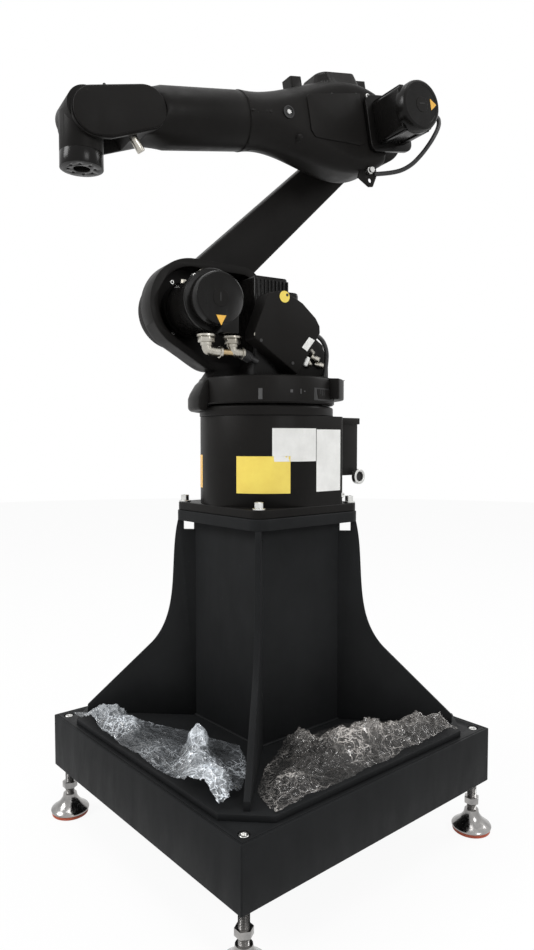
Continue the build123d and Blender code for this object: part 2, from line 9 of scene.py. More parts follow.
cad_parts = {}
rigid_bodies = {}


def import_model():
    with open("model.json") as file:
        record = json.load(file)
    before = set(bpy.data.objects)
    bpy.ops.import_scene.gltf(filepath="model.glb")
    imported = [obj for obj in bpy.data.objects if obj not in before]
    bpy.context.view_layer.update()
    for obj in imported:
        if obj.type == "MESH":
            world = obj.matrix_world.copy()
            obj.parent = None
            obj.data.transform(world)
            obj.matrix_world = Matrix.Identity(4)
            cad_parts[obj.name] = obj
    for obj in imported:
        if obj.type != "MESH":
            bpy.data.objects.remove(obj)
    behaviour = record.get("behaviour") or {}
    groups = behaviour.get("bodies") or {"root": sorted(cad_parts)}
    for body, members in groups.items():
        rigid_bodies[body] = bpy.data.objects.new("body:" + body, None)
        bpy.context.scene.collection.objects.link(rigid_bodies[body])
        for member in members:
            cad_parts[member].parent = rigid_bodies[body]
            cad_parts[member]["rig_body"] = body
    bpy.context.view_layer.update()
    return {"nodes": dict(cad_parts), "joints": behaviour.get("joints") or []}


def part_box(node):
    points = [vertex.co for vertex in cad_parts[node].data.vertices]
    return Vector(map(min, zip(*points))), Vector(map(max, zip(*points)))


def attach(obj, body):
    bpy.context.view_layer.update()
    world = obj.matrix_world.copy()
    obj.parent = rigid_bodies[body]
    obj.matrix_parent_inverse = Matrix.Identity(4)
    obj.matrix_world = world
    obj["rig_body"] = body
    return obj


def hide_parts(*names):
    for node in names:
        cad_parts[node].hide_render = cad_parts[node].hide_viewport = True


bl_info = {
    "name": "Pedestal Robot Arm",
    "version": (1, 0, 0),
    "blender": (4, 5, 0),
    "location": "View3D > Sidebar > Robot Arm",
    "description": "Adds the finish and fittings of a six-axis robot arm on its pedestal",
    "category": "Object",
}

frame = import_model()
NODES = frame["nodes"]
JOINTS = {joint["name"]: joint for joint in frame["joints"]}
CORNERS = (("front", 1, -1), ("right", 1, 1), ("rear", -1, 1), ("left", -1, -1))
MM = 0.001

# frames of the robot: x runs backwards, y up and z out to the motor side
TURN = radians(-10)
SIDE = Vector((cos(TURN), sin(TURN), 0))
FORWARD = Vector((sin(TURN), -cos(TURN), 0))
UP = Vector((0, 0, 1))
ACROSS = Vector((1, 0, 0))
FORE = Vector((0, 1, 0))
WRIST = Vector(JOINTS["wrist_bend"]["pos_m"])
ROLL_AXIS = Vector(JOINTS["forearm_roll"]["axis"]).normalized()
ARM_UP = ROLL_AXIS.cross(SIDE)
FOREARM_REACH = 0.7
ELBOW = WRIST - ROLL_AXIS * FOREARM_REACH
A2_FORWARD = Vector(JOINTS["shoulder"]["pos_m"]).dot(FORWARD) / MM
A2_UP = JOINTS["shoulder"]["pos_m"][2] / MM

# the robot's base is round in front, with straight sides back to a flat rear
BASE_R = 146
BASE_REAR = 101
TABLE_R = 150
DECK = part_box("base_motor")[0].z / MM
PLATE_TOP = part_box("column_base_plate")[1].z / MM
PLATE_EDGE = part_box("column_base_plate")[1].x / MM

# the shoulder motor's end face and the cover's face, in mm out from the middle of the arm
CAP_FACE = 104.2
COVER_FACE = 107
ELBOW_CAP_FACE = 179.3

# the camera of the photograph, whose focal length is known in its own pixels
CAMERA_AT = (1.194, -1.018, 0.869)
CAMERA_BEARING = 49.49
CAMERA_TILT = 2.85
FOCAL_PIXELS = 703.8
PHOTO_HEIGHT = 950
SENSOR = 24

# pitch of the M20 levelling studs
THREAD_PITCH = 2.5

# routes of the two short cables, in mm: side, along, up from the elbow, and side, forward, up on the column
CABLE_R = 5
ELBOW_ROUTE = ((138, -52.8, -24), (147, -74, -28), (150, -78, -48), (142, -56, -80), (122, -37, -106),
               (98, -20, -124), (72, 6, -130), (47, 42, -124))
COLUMN_ROUTE = ((80, -74, 1097), (80, -92, 1092), (76, -110, 1066), (68, -114, 1034), (64, -110, 1001))


def columns(x, y, z, origin):
    return Matrix.Translation(origin) @ Matrix((x, y, z)).transposed().to_4x4()


def robot_side(side, forward=0, up=0):
    """Frame facing the motor side, with its origin at a place in the robot's frame, in mm."""
    origin = SIDE * side * MM + FORWARD * forward * MM + UP * up * MM
    return columns(-FORWARD, UP, SIDE, origin)


def robot_up(side, forward=0, up=0):
    """Upright frame on the robot: x to the motor side, y backwards."""
    return columns(SIDE, -FORWARD, UP, robot_side(side, forward, up).translation)


def arm_side(side, along=0, up=0):
    """Frame facing the motor side and level with the forearm."""
    origin = ELBOW + SIDE * side * MM + ROLL_AXIS * along * MM + ARM_UP * up * MM
    return columns(-ROLL_AXIS, ARM_UP, SIDE, origin)


def on_base(run, proud=0):
    """Place round the robot's base, in mm: run is measured from the middle of its right side."""
    reach = BASE_R + proud
    if run > 0:
        return Vector((reach, run)), 0.0
    bearing = run / BASE_R
    return Vector((reach * cos(bearing), reach * sin(bearing))), bearing


def facing_base(run, up, proud=0):
    """Frame that faces out of the robot's base."""
    spot, bearing = on_base(run, proud)
    out = Vector((cos(bearing), sin(bearing), 0))
    return columns(UP.cross(out), UP, out, Vector((spot.x, spot.y, up)) * MM)


def upright(x, y, z):
    return Matrix.Translation((x * MM, y * MM, z * MM))


# modelling steps
def select_only(*objects):
    bpy.ops.object.select_all(action="DESELECT")
    for item in objects:
        item.select_set(True)
    bpy.context.view_layer.objects.active = objects[0]


def edit(item):
    select_only(item)
    bpy.ops.object.mode_set(mode="EDIT")
    bpy.ops.mesh.select_mode(type="FACE")
    bpy.ops.mesh.select_all(action="SELECT")


def leave_edit():
    bpy.ops.object.mode_set(mode="OBJECT")


def pick_faces(item, test):
    """Selects the faces whose centre and normal pass the test, in edit mode."""
    bpy.ops.mesh.select_all(action="DESELECT")
    mesh = bmesh.from_edit_mesh(item.data)
    for face in mesh.faces:
        face.select_set(test(face.calc_center_median(), face.normal))
    mesh.select_flush_mode()
    bmesh.update_edit_mesh(item.data)


def apply_modifiers(item):
    select_only(item)
    for modifier in list(item.modifiers):
        bpy.ops.object.modifier_apply(modifier=modifier.name)


def soften(item, width, segments=2, angle=32):
    """Rounds the sharp edges, width in mm, and smooths the shading."""
    bevel = item.modifiers.new("soft edges", "BEVEL")
    bevel.width = width * MM
    bevel.segments = segments
    bevel.limit_method = "ANGLE"
    bevel.angle_limit = radians(angle)
    bevel.harden_normals = False
    apply_modifiers(item)
    smooth(item)


def smooth(item, angle=38):
    select_only(item)
    bpy.ops.object.shade_smooth_by_angle(angle=radians(angle))


def turned(name, profile, steps=64):
    """A lathe shape along z from (radius, height) pairs in mm, closed by a flat at each end."""
    first_radius, first_height = profile[0]
    bpy.ops.mesh.primitive_circle_add(vertices=steps, radius=first_radius * MM, fill_type="NGON",
                                      location=(0, 0, first_height * MM))
    item = bpy.context.object
    item.name = name
    edit(item)
    radius, height = profile[0]
    for next_radius, next_height in profile[1:]:
        bpy.ops.mesh.extrude_region_move(
            TRANSFORM_OT_translate={"value": (0, 0, (next_height - height) * MM)})
        if next_radius != radius:
            grow = next_radius / radius
            bpy.ops.transform.resize(value=(grow, grow, 1))
        radius, height = next_radius, next_height
    bpy.ops.mesh.select_all(action="SELECT")
    bpy.ops.mesh.normals_make_consistent(inside=False)
    leave_edit()
    bpy.ops.object.transform_apply(location=True, rotation=True, scale=True)
    return item


def plate(name, outline, low, high):
    """A flat plate from an outline in mm, from low to high along z, or one face if high is None."""
    bpy.ops.mesh.primitive_circle_add(vertices=len(outline), radius=1, fill_type="NGON")
    item = bpy.context.object
    item.name = name
    for corner, (x, y) in zip(item.data.vertices, outline):
        corner.co = (x * MM, y * MM, low * MM)
    if high is None:
        return item
    edit(item)
    bpy.ops.mesh.extrude_region_move(TRANSFORM_OT_translate={"value": (0, 0, (high - low) * MM)})
    bpy.ops.mesh.select_all(action="SELECT")
    bpy.ops.mesh.normals_make_consistent(inside=False)
    leave_edit()
    return item


def swung(name, profile, start, end, steps=20):
    """A solid from a (radius, height) outline in mm, swung about the base axis between two bearings."""
    item = plate(name, profile, 0, None)
    for corner, (radius, height) in zip(item.data.vertices, profile):
        corner.co = (radius * MM, 0, height * MM)
    item.data.transform(Matrix.Rotation(radians(start), 4, "Z"))
    edit(item)
    for _ in range(steps):
        bpy.ops.mesh.extrude_region_move(TRANSFORM_OT_translate={"value": (0, 0, 0)})
        bpy.ops.transform.rotate(value=radians(start - end) / steps, orient_axis="Z",
                                 center_override=(0, 0, 0))
    bpy.ops.mesh.select_all(action="SELECT")
    bpy.ops.mesh.normals_make_consistent(inside=False)
    leave_edit()
    return item


def hexagon(radius):
    return [(radius * cos(tau * corner / 6), radius * sin(tau * corner / 6)) for corner in range(6)]


def bent_plate(name, corner_at, low, high, proud=0.4, steps=12):
    """A thin plate that follows a curved wall; corner_at gives its plan point for a share and a reach."""
    outline = [(0, 0)] * (2 * steps + 2)
    item = plate(name, outline, 0, proud)
    for index, corner in enumerate(item.data.vertices):
        ring, layer = index % len(outline), index // len(outline)
        share = (ring if ring <= steps else 2 * steps + 1 - ring) / steps
        spot = corner_at(share, 0.1 + proud * layer)
        corner.co = (spot[0] * MM, spot[1] * MM, (low if ring <= steps else high) * MM)
    edit(item)
    bpy.ops.mesh.normals_make_consistent(inside=False)
    leave_edit()
    return item


def cut_below(item, height):
    """Takes away what is under a height in mm and closes the cut."""
    edit(item)
    bpy.ops.mesh.bisect(plane_co=(0, 0, height * MM), plane_no=(0, 0, 1), use_fill=True, clear_inner=True)
    leave_edit()


def block(name, size, centre):
    """A square block, size and centre in mm."""
    bpy.ops.mesh.primitive_cube_add(size=1)
    item = bpy.context.object
    item.name = name
    item.scale = [value * MM for value in size]
    item.location = [value * MM for value in centre]
    bpy.ops.object.transform_apply(location=True, rotation=True, scale=True)
    return item


def rounded_square(half, corner, steps=6):
    """Outline of a square with round corners, in mm."""
    outline = []
    for quarter, (sx, sy) in enumerate(((1, 1), (-1, 1), (-1, -1), (1, -1))):
        for step in range(steps + 1):
            angle = radians(90 * quarter + 90 * step / steps)
            outline.append((sx * (half - corner) + corner * cos(angle),
                            sy * (half - corner) + corner * sin(angle)))
    return outline


def round_line(name, places, radius, roundness, steps):
    """A curve, round in section with a radius in mm, drawn towards control points in metres."""
    curve = bpy.data.curves.new(name, "CURVE")
    curve.dimensions = "3D"
    curve.bevel_depth = radius * MM
    curve.bevel_resolution = roundness
    curve.resolution_u = steps
    curve.use_fill_caps = True
    spline = curve.splines.new("NURBS")
    spline.points.add(len(places) - 1)
    for control, place in zip(spline.points, places):
        control.co = (*place, 1)
    spline.order_u = 3
    spline.use_endpoint_u = True
    item = bpy.data.objects.new(name, curve)
    bpy.context.scene.collection.objects.link(item)
    return item


def tube(name, points, radius):
    """A round tube along a smooth line towards control points in mm."""
    item = round_line(name, [tuple(value * MM for value in point) for point in points], radius, 4, 10)
    select_only(item)
    bpy.ops.object.convert(target="MESH")
    item = bpy.context.object
    smooth(item, 60)
    return item


def put(item, place):
    """Moves a piece from its own drawing frame to its place on the robot."""
    item.data.transform(place)
    item.data.update()
    return item


def copy_at(item, place):
    twin = item.copy()
    twin.data = item.data.copy()
    bpy.context.scene.collection.objects.link(twin)
    return put(twin, place)


def joined(name, items):
    select_only(*items)
    if len(items) > 1:
        bpy.ops.object.join()
    item = bpy.context.object
    item.name = name
    item.data.name = name
    return item


def paint(item, material):
    item.data.materials.clear()
    item.data.materials.append(material)
    return item


def fit(item, body, slot, *replaced):
    """Fits a finished piece to the body it rides on and hides the nodes it stands for; slot is not used."""
    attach(item, body)
    if replaced:
        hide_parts(*replaced)
    return item


def add_piece(item, finish, place, body, slot, *replaced):
    paint(item, FINISHES[finish])
    put(item, place)
    return fit(item, body, slot, *replaced)


def dressed(node, material, slot, edge=1.0, angle=32):
    """A merged copy of a CAD node with rounded edges, which stands for it."""
    source = NODES[node]
    body = source["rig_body"]
    item = bpy.data.objects.new(node + "_finished", source.data.copy())
    bpy.context.scene.collection.objects.link(item)
    edit(item)
    bpy.ops.mesh.remove_doubles(threshold=1e-5)
    if edge:
        bpy.ops.mesh.dissolve_limited(angle_limit=radians(0.8))
    leave_edit()
    if edge:
        soften(item, edge, 2, angle)
    smooth(item)
    paint(item, material)
    return fit(item, body, slot, node)


# finishes
class Mix:
    """Short way to add and join shader nodes."""

    def __init__(self, name):
        self.material = bpy.data.materials.new(name)
        self.material.use_nodes = True
        self.tree = self.material.node_tree
        self.shader = self.tree.nodes["Principled BSDF"]
        self.coordinates = self.add("ShaderNodeTexCoord").outputs["Object"]

    def add(self, kind, **values):
        node = self.tree.nodes.new(kind)
        for key, value in values.items():
            setattr(node, key, value)
        return node

    def join(self, source, target):
        self.tree.links.new(source, target)

    def noise(self, scale, detail=3, roughness=0.6, stretch=None):
        texture = self.add("ShaderNodeTexNoise")
        texture.inputs["Scale"].default_value = scale
        texture.inputs["Detail"].default_value = detail
        texture.inputs["Roughness"].default_value = roughness
        source = self.coordinates
        if stretch:
            mapping = self.add("ShaderNodeMapping")
            mapping.inputs["Scale"].default_value = stretch
            self.join(self.coordinates, mapping.inputs["Vector"])
            source = mapping.outputs["Vector"]
        self.join(source, texture.inputs["Vector"])
        return texture.outputs["Fac"]

    def ramp(self, source, *stops):
        ramp = self.add("ShaderNodeValToRGB")
        while len(ramp.color_ramp.elements) < len(stops):
            ramp.color_ramp.elements.new(0.5)
        for element, (position, value) in zip(ramp.color_ramp.elements, stops):
            element.position = position
            colour = value if isinstance(value, tuple) else (value, value, value)
            element.color = (*colour, 1)
        self.join(source, ramp.inputs["Fac"])
        return ramp.outputs["Color"]

    def sum_up(self, operation, *terms, clamp=False):
        """A maths node with its terms joined or set in order."""
        node = self.add("ShaderNodeMath", operation=operation, use_clamp=clamp)
        for term, socket in zip(terms, node.inputs):
            if isinstance(term, (int, float)):
                socket.default_value = term
            else:
                self.join(term, socket)
        return node.outputs[0]

    def blend(self, share, first, second):
        mixer = self.add("ShaderNodeMix", data_type="RGBA")
        self.join(share, mixer.inputs["Factor"])
        for source, socket in ((first, mixer.inputs["A"]), (second, mixer.inputs["B"])):
            if isinstance(source, tuple):
                socket.default_value = (*source, 1)
            else:
                self.join(source, socket)
        return mixer.outputs["Result"]

    def bump(self, source, strength, distance=0.001):
        node = self.add("ShaderNodeBump")
        node.inputs["Strength"].default_value = strength
        node.inputs["Distance"].default_value = distance
        self.join(source, node.inputs["Height"])
        self.join(node.outputs["Normal"], self.shader.inputs["Normal"])


def coated(name, colour, worn, gloss, peel_scale, peel, specular=0.07):
    """Painted metal: slight orange peel, uneven gloss, and dust and rub marks in patches."""
    mix = Mix(name)
    patches = mix.noise(5.5, 6, 0.62)
    specks = mix.noise(160, 4, 0.7)
    streaks = mix.noise(34, 5, 0.65, (1, 1, 0.25))
    tone = mix.ramp(patches, (0.35, colour), (0.75, worn))
    dust = mix.ramp(specks, (0.66, 0.0), (0.74, 0.55))
    mix.join(mix.blend(dust, tone, tuple(value * 1.9 + 0.01 for value in worn)),
             mix.shader.inputs["Base Color"])
    mix.join(mix.ramp(streaks, (0.3, gloss - 0.06), (0.7, gloss + 0.09)), mix.shader.inputs["Roughness"])
    mix.bump(mix.noise(peel_scale, 2, 0.5), peel, 0.0004)
    mix.shader.inputs["Specular IOR Level"].default_value = specular
    return mix.material


def bare_metal(name, colour, dull, gloss, grain=240):
    """Plated or polished metal with fine scratches and faint staining."""
    mix = Mix(name)
    mix.join(mix.blend(mix.ramp(mix.noise(22, 5), (0.4, 0.0), (0.75, 1.0)), colour, dull),
             mix.shader.inputs["Base Color"])
    mix.join(mix.ramp(mix.noise(grain, 3, 0.6, (1, 1, 0.1)), (0.3, gloss - 0.05), (0.7, gloss + 0.12)),
             mix.shader.inputs["Roughness"])
    mix.shader.inputs["Metallic"].default_value = 1.0
    mix.bump(mix.noise(grain * 2, 2), 0.05, 0.0003)
    return mix.material


def moulded(name, colour, dull, gloss, grain=500):
    """Rubber or plastic with a fine grain."""
    mix = Mix(name)
    mix.join(mix.ramp(mix.noise(26, 5), (0.35, colour), (0.75, dull)), mix.shader.inputs["Base Color"])
    mix.join(mix.ramp(mix.noise(70, 3), (0.3, gloss - 0.05), (0.7, gloss + 0.08)),
             mix.shader.inputs["Roughness"])
    mix.bump(mix.noise(grain, 2), 0.18, 0.0004)
    return mix.material


def crumpled_film(name, tint, flat, heap):
    """Clear stretch film: see-through where it lies flat, with white creases painted as glints (painted
    highlights), and cloudy where heaped.
    """
    mix = Mix(name)
    crease = painted_crease_glints(mix)
    patches = mix.ramp(mix.noise(9, 3, 0.6), (0.4, 0.15), (0.6, 1.0))
    # painted highlight: the crease lines and specks, shown in patches, are white glints painted into the
    # film's colour and opacity
    seen = mix.sum_up("MULTIPLY", crease, patches)
    parts = mix.add("ShaderNodeSeparateXYZ")
    mix.join(mix.coordinates, parts.inputs[0])
    lift = mix.add("ShaderNodeMapRange")
    lift.inputs["From Min"].default_value = (PLATE_TOP + 6) * MM
    lift.inputs["From Max"].default_value = (PLATE_TOP + 50) * MM
    mix.join(parts.outputs["Z"], lift.inputs["Value"])
    height = lift.outputs["Result"]
    # paler where the film lies heaped, and paler still at the painted glints on its creases
    pale = mix.sum_up("MULTIPLY_ADD", height, heap, seen, clamp=True)
    mix.join(mix.blend(pale, tuple(value * 0.2 for value in tint), tint), mix.shader.inputs["Base Color"])
    cloud = mix.sum_up("MULTIPLY_ADD", seen, 0.5, flat)
    mix.join(mix.sum_up("MULTIPLY_ADD", height, heap, cloud, clamp=True), mix.shader.inputs["Alpha"])
    mix.shader.inputs["Roughness"].default_value = 0.12
    mix.shader.inputs["Specular IOR Level"].default_value = 1.0
    return mix.material


def painted_crease_glints(mix):
    """Painted highlights of crumpled film: white lines as glints along its creases, from two nets of cell
    edges pulled about by noise, and fine specks of painted glint.
    """
    shifted = mix.add("ShaderNodeVectorMath", operation="MULTIPLY_ADD")
    mix.join(mix.noise(22, 4, 0.6), shifted.inputs[0])
    shifted.inputs[1].default_value = (0.035, 0.035, 0.035)
    mix.join(mix.coordinates, shifted.inputs[2])
    crease = None
    for scale, width in ((26, 0.035), (62, 0.06)):
        cells = mix.add("ShaderNodeTexVoronoi", feature="DISTANCE_TO_EDGE")
        cells.inputs["Scale"].default_value = scale
        mix.join(shifted.outputs[0], cells.inputs["Vector"])
        net = mix.ramp(cells.outputs["Distance"], (0.0, 1.0), (width, 0.0))
        crease = mix.sum_up("MAXIMUM", crease, net) if crease else net
    specks = mix.ramp(mix.noise(150, 6, 0.8, (1.0, 1.6, 1.0)), (0.57, 0.0), (0.63, 1.0))
    return mix.sum_up("MAXIMUM", crease, specks)


FINISHES = {}


def make_finishes(look):
    black = tuple(look.plate_black[:3])
    arm = tuple(look.arm_black[:3])
    FINISHES.update({
        "plate": coated("black powder coat", black, tuple(v * 1.5 for v in black), 0.5, 750, 0.25),
        "arm": coated("satin arm enamel", arm, tuple(v * 1.5 + 0.0004 for v in arm), 0.4, 900, 0.12),
        "motor": coated("gloss motor enamel", tuple(v * 0.6 for v in arm), arm, 0.22, 500, 0.06, 0.14),
        "cover": coated("matt cover plastic", tuple(v * 1.1 for v in arm), tuple(v * 1.5 for v in arm), 0.5,
                        1200, 0.2),
        # painted shade: a near-black finish for discs and blocks set in holes, slots and the window's rim,
        # standing in for the shade in those hollows
        "painted_hollow_shade": moulded("painted shade in hollows", (0.004, 0.004, 0.004), (0.008, 0.008, 0.008), 0.6),
        "zinc": bare_metal("bright zinc", (0.72, 0.72, 0.7), (0.42, 0.42, 0.41), 0.28),
        "chrome": bare_metal("chrome foot", (0.36, 0.35, 0.34), (0.16, 0.16, 0.16), 0.16),
        "nickel": bare_metal("nickel connector", (0.5, 0.48, 0.43), (0.24, 0.22, 0.18), 0.26),
        "brass": bare_metal("brass elbow", (0.55, 0.42, 0.24), (0.3, 0.22, 0.12), 0.28),
        "dark_steel": bare_metal("blackened screw", (0.05, 0.05, 0.05), (0.02, 0.02, 0.02), 0.35),
        "red_rubber": moulded("red foot rubber", (0.5, 0.1, 0.045), (0.33, 0.06, 0.03), 0.6),
        "sheath": moulded("cable sheath", (0.012, 0.012, 0.013), (0.022, 0.022, 0.022), 0.42),
        "yellow": moulded("plain yellow film", (0.86, 0.68, 0.12), (0.8, 0.6, 0.1), 0.35),
        "amber": moulded("amber film", (0.85, 0.48, 0.06), (0.75, 0.4, 0.05), 0.35),
        "worn": moulded("worn mark", (0.06, 0.06, 0.06), (0.03, 0.03, 0.03), 0.55),
        "white": moulded("plain white film", (0.82, 0.82, 0.8), (0.7, 0.7, 0.68), 0.35),
        # painted light: a lit and a shaded copy of one film, the left sheet paler and bluer, the right sheet
        # darker and browner as painted shade
        "film_left": crumpled_film("stretch film", (0.8, 0.85, 0.9), 0.3, 0.55),
        "film_right": crumpled_film("stretch film in shade", (0.78, 0.74, 0.7), 0.12, 0.2),
    })


# small parts that repeat
def socket_screw(radius, height):
    """Cap screw along z, its seat at z = 0, with a hexagon socket."""
    bpy.ops.mesh.primitive_circle_add(vertices=24, radius=radius * MM, location=(0, 0, height * MM))
    item = bpy.context.object
    edit(item)
    bpy.ops.mesh.primitive_circle_add(vertices=6, radius=radius * 0.55 * MM, location=(0, 0, height * MM))
    bpy.ops.mesh.select_mode(type="EDGE")
    bpy.ops.mesh.select_all(action="SELECT")
    bpy.ops.mesh.bridge_edge_loops()
    for low, reach in ((height * 0.35, 0.6), (0, 1.1)):
        bpy.ops.mesh.select_all(action="DESELECT")
        mesh = bmesh.from_edit_mesh(item.data)
        for edge in mesh.edges:
            ring = sum(hypot(v.co.x, v.co.y) for v in edge.verts) / 2 / (radius * MM)
            inner = ring < 0.7
            edge.select_set(edge.is_boundary and (inner if reach < 1 else not inner))
        bmesh.update_edit_mesh(item.data)
        bpy.ops.mesh.extrude_edges_move(
            TRANSFORM_OT_translate={"value": (0, 0, (low - height) * MM)})
        bpy.ops.mesh.edge_face_add()
    bpy.ops.mesh.select_all(action="SELECT")
    bpy.ops.mesh.normals_make_consistent(inside=False)
    leave_edit()
    soften(item, min(0.6, radius * 0.12), 1, 50)
    return item


def screws(name, places, radius, height, finish, body, slot):
    """One cap screw copied to every place and joined."""
    model = socket_screw(radius, height)
    items = [copy_at(model, place) for place in places]
    bpy.data.objects.remove(model)
    item = paint(joined(name, items), FINISHES[finish])
    smooth(item)
    return fit(item, body, slot)


def base_label(name, start, end, low, high, finish):
    """A plain sticker that follows the robot's base."""
    item = bent_plate(name, lambda share, proud: on_base(start + (end - start) * share, proud)[0], low, high)
    return fit(paint(item, FINISHES[finish]), "pedestal", "robot_black")


def table_mark(name, start, end, low, high, proud, finish):
    """A moulded mark on the rim of the turntable, between two bearings."""
    def corner_at(share, rise):
        bearing = radians(start + (end - start) * share)
        return (TABLE_R + rise) * cos(bearing), (TABLE_R + rise) * sin(bearing)
    item = bent_plate(name, corner_at, low, high, proud)
    return fit(paint(item, FINISHES[finish]), "turning_column", "robot_black")


def cable(name, places, node, body):
    """A free cable on a smooth line through its route, which goes back into the object."""
    item = round_line(name, places, CABLE_R, 5, 14)
    item.data.materials.append(FINISHES["sheath"])
    fit(item, body, "cable_black", node)
    return item


# sizes and colours a user may change
class RobotArmLook(bpy.types.PropertyGroup):
    plate_black: bpy.props.FloatVectorProperty(
        name="Pedestal black", description="Powder coat of the welded pedestal",
        subtype="COLOR", size=4, default=(0.010, 0.0105, 0.011, 1))
    arm_black: bpy.props.FloatVectorProperty(
        name="Arm black", description="Enamel of the arm's castings",
        subtype="COLOR", size=4, default=(0.0075, 0.007, 0.0066, 1))
    plate_edge: bpy.props.FloatProperty(
        name="Plate edge", description="Rounding of the base box's edges", unit="LENGTH",
        default=0.0012, precision=4)
    casting_edge: bpy.props.FloatProperty(
        name="Casting edge", description="Rounding of the arm's casting edges", unit="LENGTH",
        default=0.0022, precision=4)
    fin_count: bpy.props.IntProperty(
        name="Motor fins", description="Ribs down the side of the base motor", default=9)


class PieceOperator:
    bl_options = {"REGISTER", "UNDO"}

    @property
    def look(self):
        return bpy.context.scene.robot_arm_look

    @property
    def casting_edge(self):
        return self.look.casting_edge / MM


class ROBOTARM_OT_stage(PieceOperator, bpy.types.Operator):
    """Floor, lamps, world and the camera of the photograph"""
    bl_idname = "robotarm.stage"
    bl_label = "Stage"

    def execute(self, context):
        scene = context.scene
        scene.view_settings.view_transform = "Standard"
        self.world(scene)
        self.floor()
        self.lamps()
        self.camera(scene)
        return {"FINISHED"}

    def world(self, scene):
        world = bpy.data.worlds.new("studio")
        scene.world = world
        world.use_nodes = True
        tree = world.node_tree
        light = tree.nodes["Background"]
        light.inputs["Color"].default_value = (1, 1, 1, 1)
        light.inputs["Strength"].default_value = 0.45
        seen = tree.nodes.new("ShaderNodeBackground")
        seen.inputs["Color"].default_value = (1, 1, 1, 1)
        seen.inputs["Strength"].default_value = 1.0
        mixer = tree.nodes.new("ShaderNodeMixShader")
        tree.links.new(self.seen_rays(tree), mixer.inputs["Fac"])
        tree.links.new(light.outputs[0], mixer.inputs[1])
        tree.links.new(seen.outputs[0], mixer.inputs[2])
        tree.links.new(mixer.outputs[0], tree.nodes["World Output"].inputs["Surface"])

    def seen_rays(self, tree):
        """One for the rays that see the backdrop directly, in a reflection or through a clear sheet."""
        path = tree.nodes.new("ShaderNodeLightPath")
        total = path.outputs["Is Camera Ray"]
        for ray in ("Is Glossy Ray", "Is Transmission Ray"):
            either = tree.nodes.new("ShaderNodeMath")
            either.operation = "MAXIMUM"
            tree.links.new(total, either.inputs[0])
            tree.links.new(path.outputs[ray], either.inputs[1])
            total = either.outputs[0]
        return total

    def floor(self):
        bpy.ops.mesh.primitive_circle_add(vertices=96, radius=9, fill_type="NGON")
        floor = bpy.context.object
        floor.name = "studio_floor"
        material = bpy.data.materials.new("pale floor")
        material.use_nodes = True
        tree = material.node_tree
        shader = tree.nodes["Principled BSDF"]
        shader.inputs["Base Color"].default_value = (0.92, 0.92, 0.92, 1)
        shader.inputs["Roughness"].default_value = 0.9
        white = tree.nodes.new("ShaderNodeEmission")
        white.inputs["Strength"].default_value = 1.0
        mixer = tree.nodes.new("ShaderNodeMixShader")
        share = tree.nodes.new("ShaderNodeMath")
        share.operation = "MULTIPLY"
        share.inputs[1].default_value = 0.93
        tree.links.new(self.seen_rays(tree), share.inputs[0])
        tree.links.new(share.outputs[0], mixer.inputs["Fac"])
        tree.links.new(shader.outputs[0], mixer.inputs[1])
        tree.links.new(white.outputs[0], mixer.inputs[2])
        tree.links.new(mixer.outputs[0], tree.nodes["Material Output"].inputs["Surface"])
        floor.data.materials.append(material)

    def lamps(self):
        for name, energy, size, place, aim in (
                ("key lamp", 95, 1.6, (-1.4, -3.4, 3.2), (0, 0, 1.0)),
                ("side lamp", 40, 1.2, (3.6, -0.4, 2.4), (0, 0, 1.0)),
                ("back lamp", 40, 1.4, (1.2, 3.2, 3.0), (0, 0, 1.2)),
                ("top lamp", 45, 2.0, (0.2, -0.4, 4.2), (0, 0, 1.0))):
            lamp = bpy.data.lights.new(name, "AREA")
            lamp.energy = energy
            lamp.size = size
            item = bpy.data.objects.new(name, lamp)
            item.location = place
            item.rotation_euler = (Vector(aim) - Vector(place)).to_track_quat("-Z", "Y").to_euler()
            bpy.context.scene.collection.objects.link(item)

    def camera(self, scene):
        bearing = radians(CAMERA_BEARING)
        tilt = radians(CAMERA_TILT)
        right = Vector((cos(bearing), sin(bearing), 0))
        back = Vector((sin(bearing) * cos(tilt), -cos(bearing) * cos(tilt), sin(tilt)))
        lens = bpy.data.cameras.new("photograph")
        lens.sensor_fit = "VERTICAL"
        lens.sensor_height = SENSOR
        lens.lens = SENSOR * FOCAL_PIXELS / PHOTO_HEIGHT
        camera = bpy.data.objects.new("photograph", lens)
        camera.matrix_world = columns(right, back.cross(right), back, Vector(CAMERA_AT))
        scene.collection.objects.link(camera)
        scene.camera = camera


class ROBOTARM_OT_pedestal(PieceOperator, bpy.types.Operator):
    """Base box, column, gussets and plates, with their screws and welds"""
    bl_idname = "robotarm.pedestal"
    bl_label = "Pedestal"

    def execute(self, context):
        edge = self.look.plate_edge / MM
        plate_nodes = ["base_box", "box_top_panel", "column_base_plate", "column", "top_plate"]
        plate_nodes += [f"gusset_{corner}" for corner, sx, sy in CORNERS]
        for node in plate_nodes:
            dressed(node, FINISHES["plate"], "black_plate", edge if node == "base_box" else 0.8)
        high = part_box("base_box")[1]
        socket = high.x / MM - 25
        top = high.z / MM
        screws("stud_sockets", [upright(sx * socket, sy * socket, top - 5) for _, sx, sy in CORNERS],
               8.5, 4.2, "zinc", "pedestal", "zinc_steel")
        self.welds()
        return {"FINISHED"}

    def welds(self):
        """Beads along the column foot and the column's top edge."""
        col_low, col_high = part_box("column")
        half, foot, head = col_high.x / MM, col_low.z / MM, col_high.z / MM
        beads = []
        for turn in range(4):
            spin = Matrix.Rotation(radians(90 * turn), 4, "Z")
            for level, radius in ((foot + 1, 3.2), (head - 1, 2.6)):
                run = [(along, -half, level) for along in (-half, 0, half)]
                beads.append(put(tube("bead", run, radius), spin))
        item = paint(joined("weld_beads", beads), FINISHES["plate"])
        fit(item, "pedestal", "black_plate")


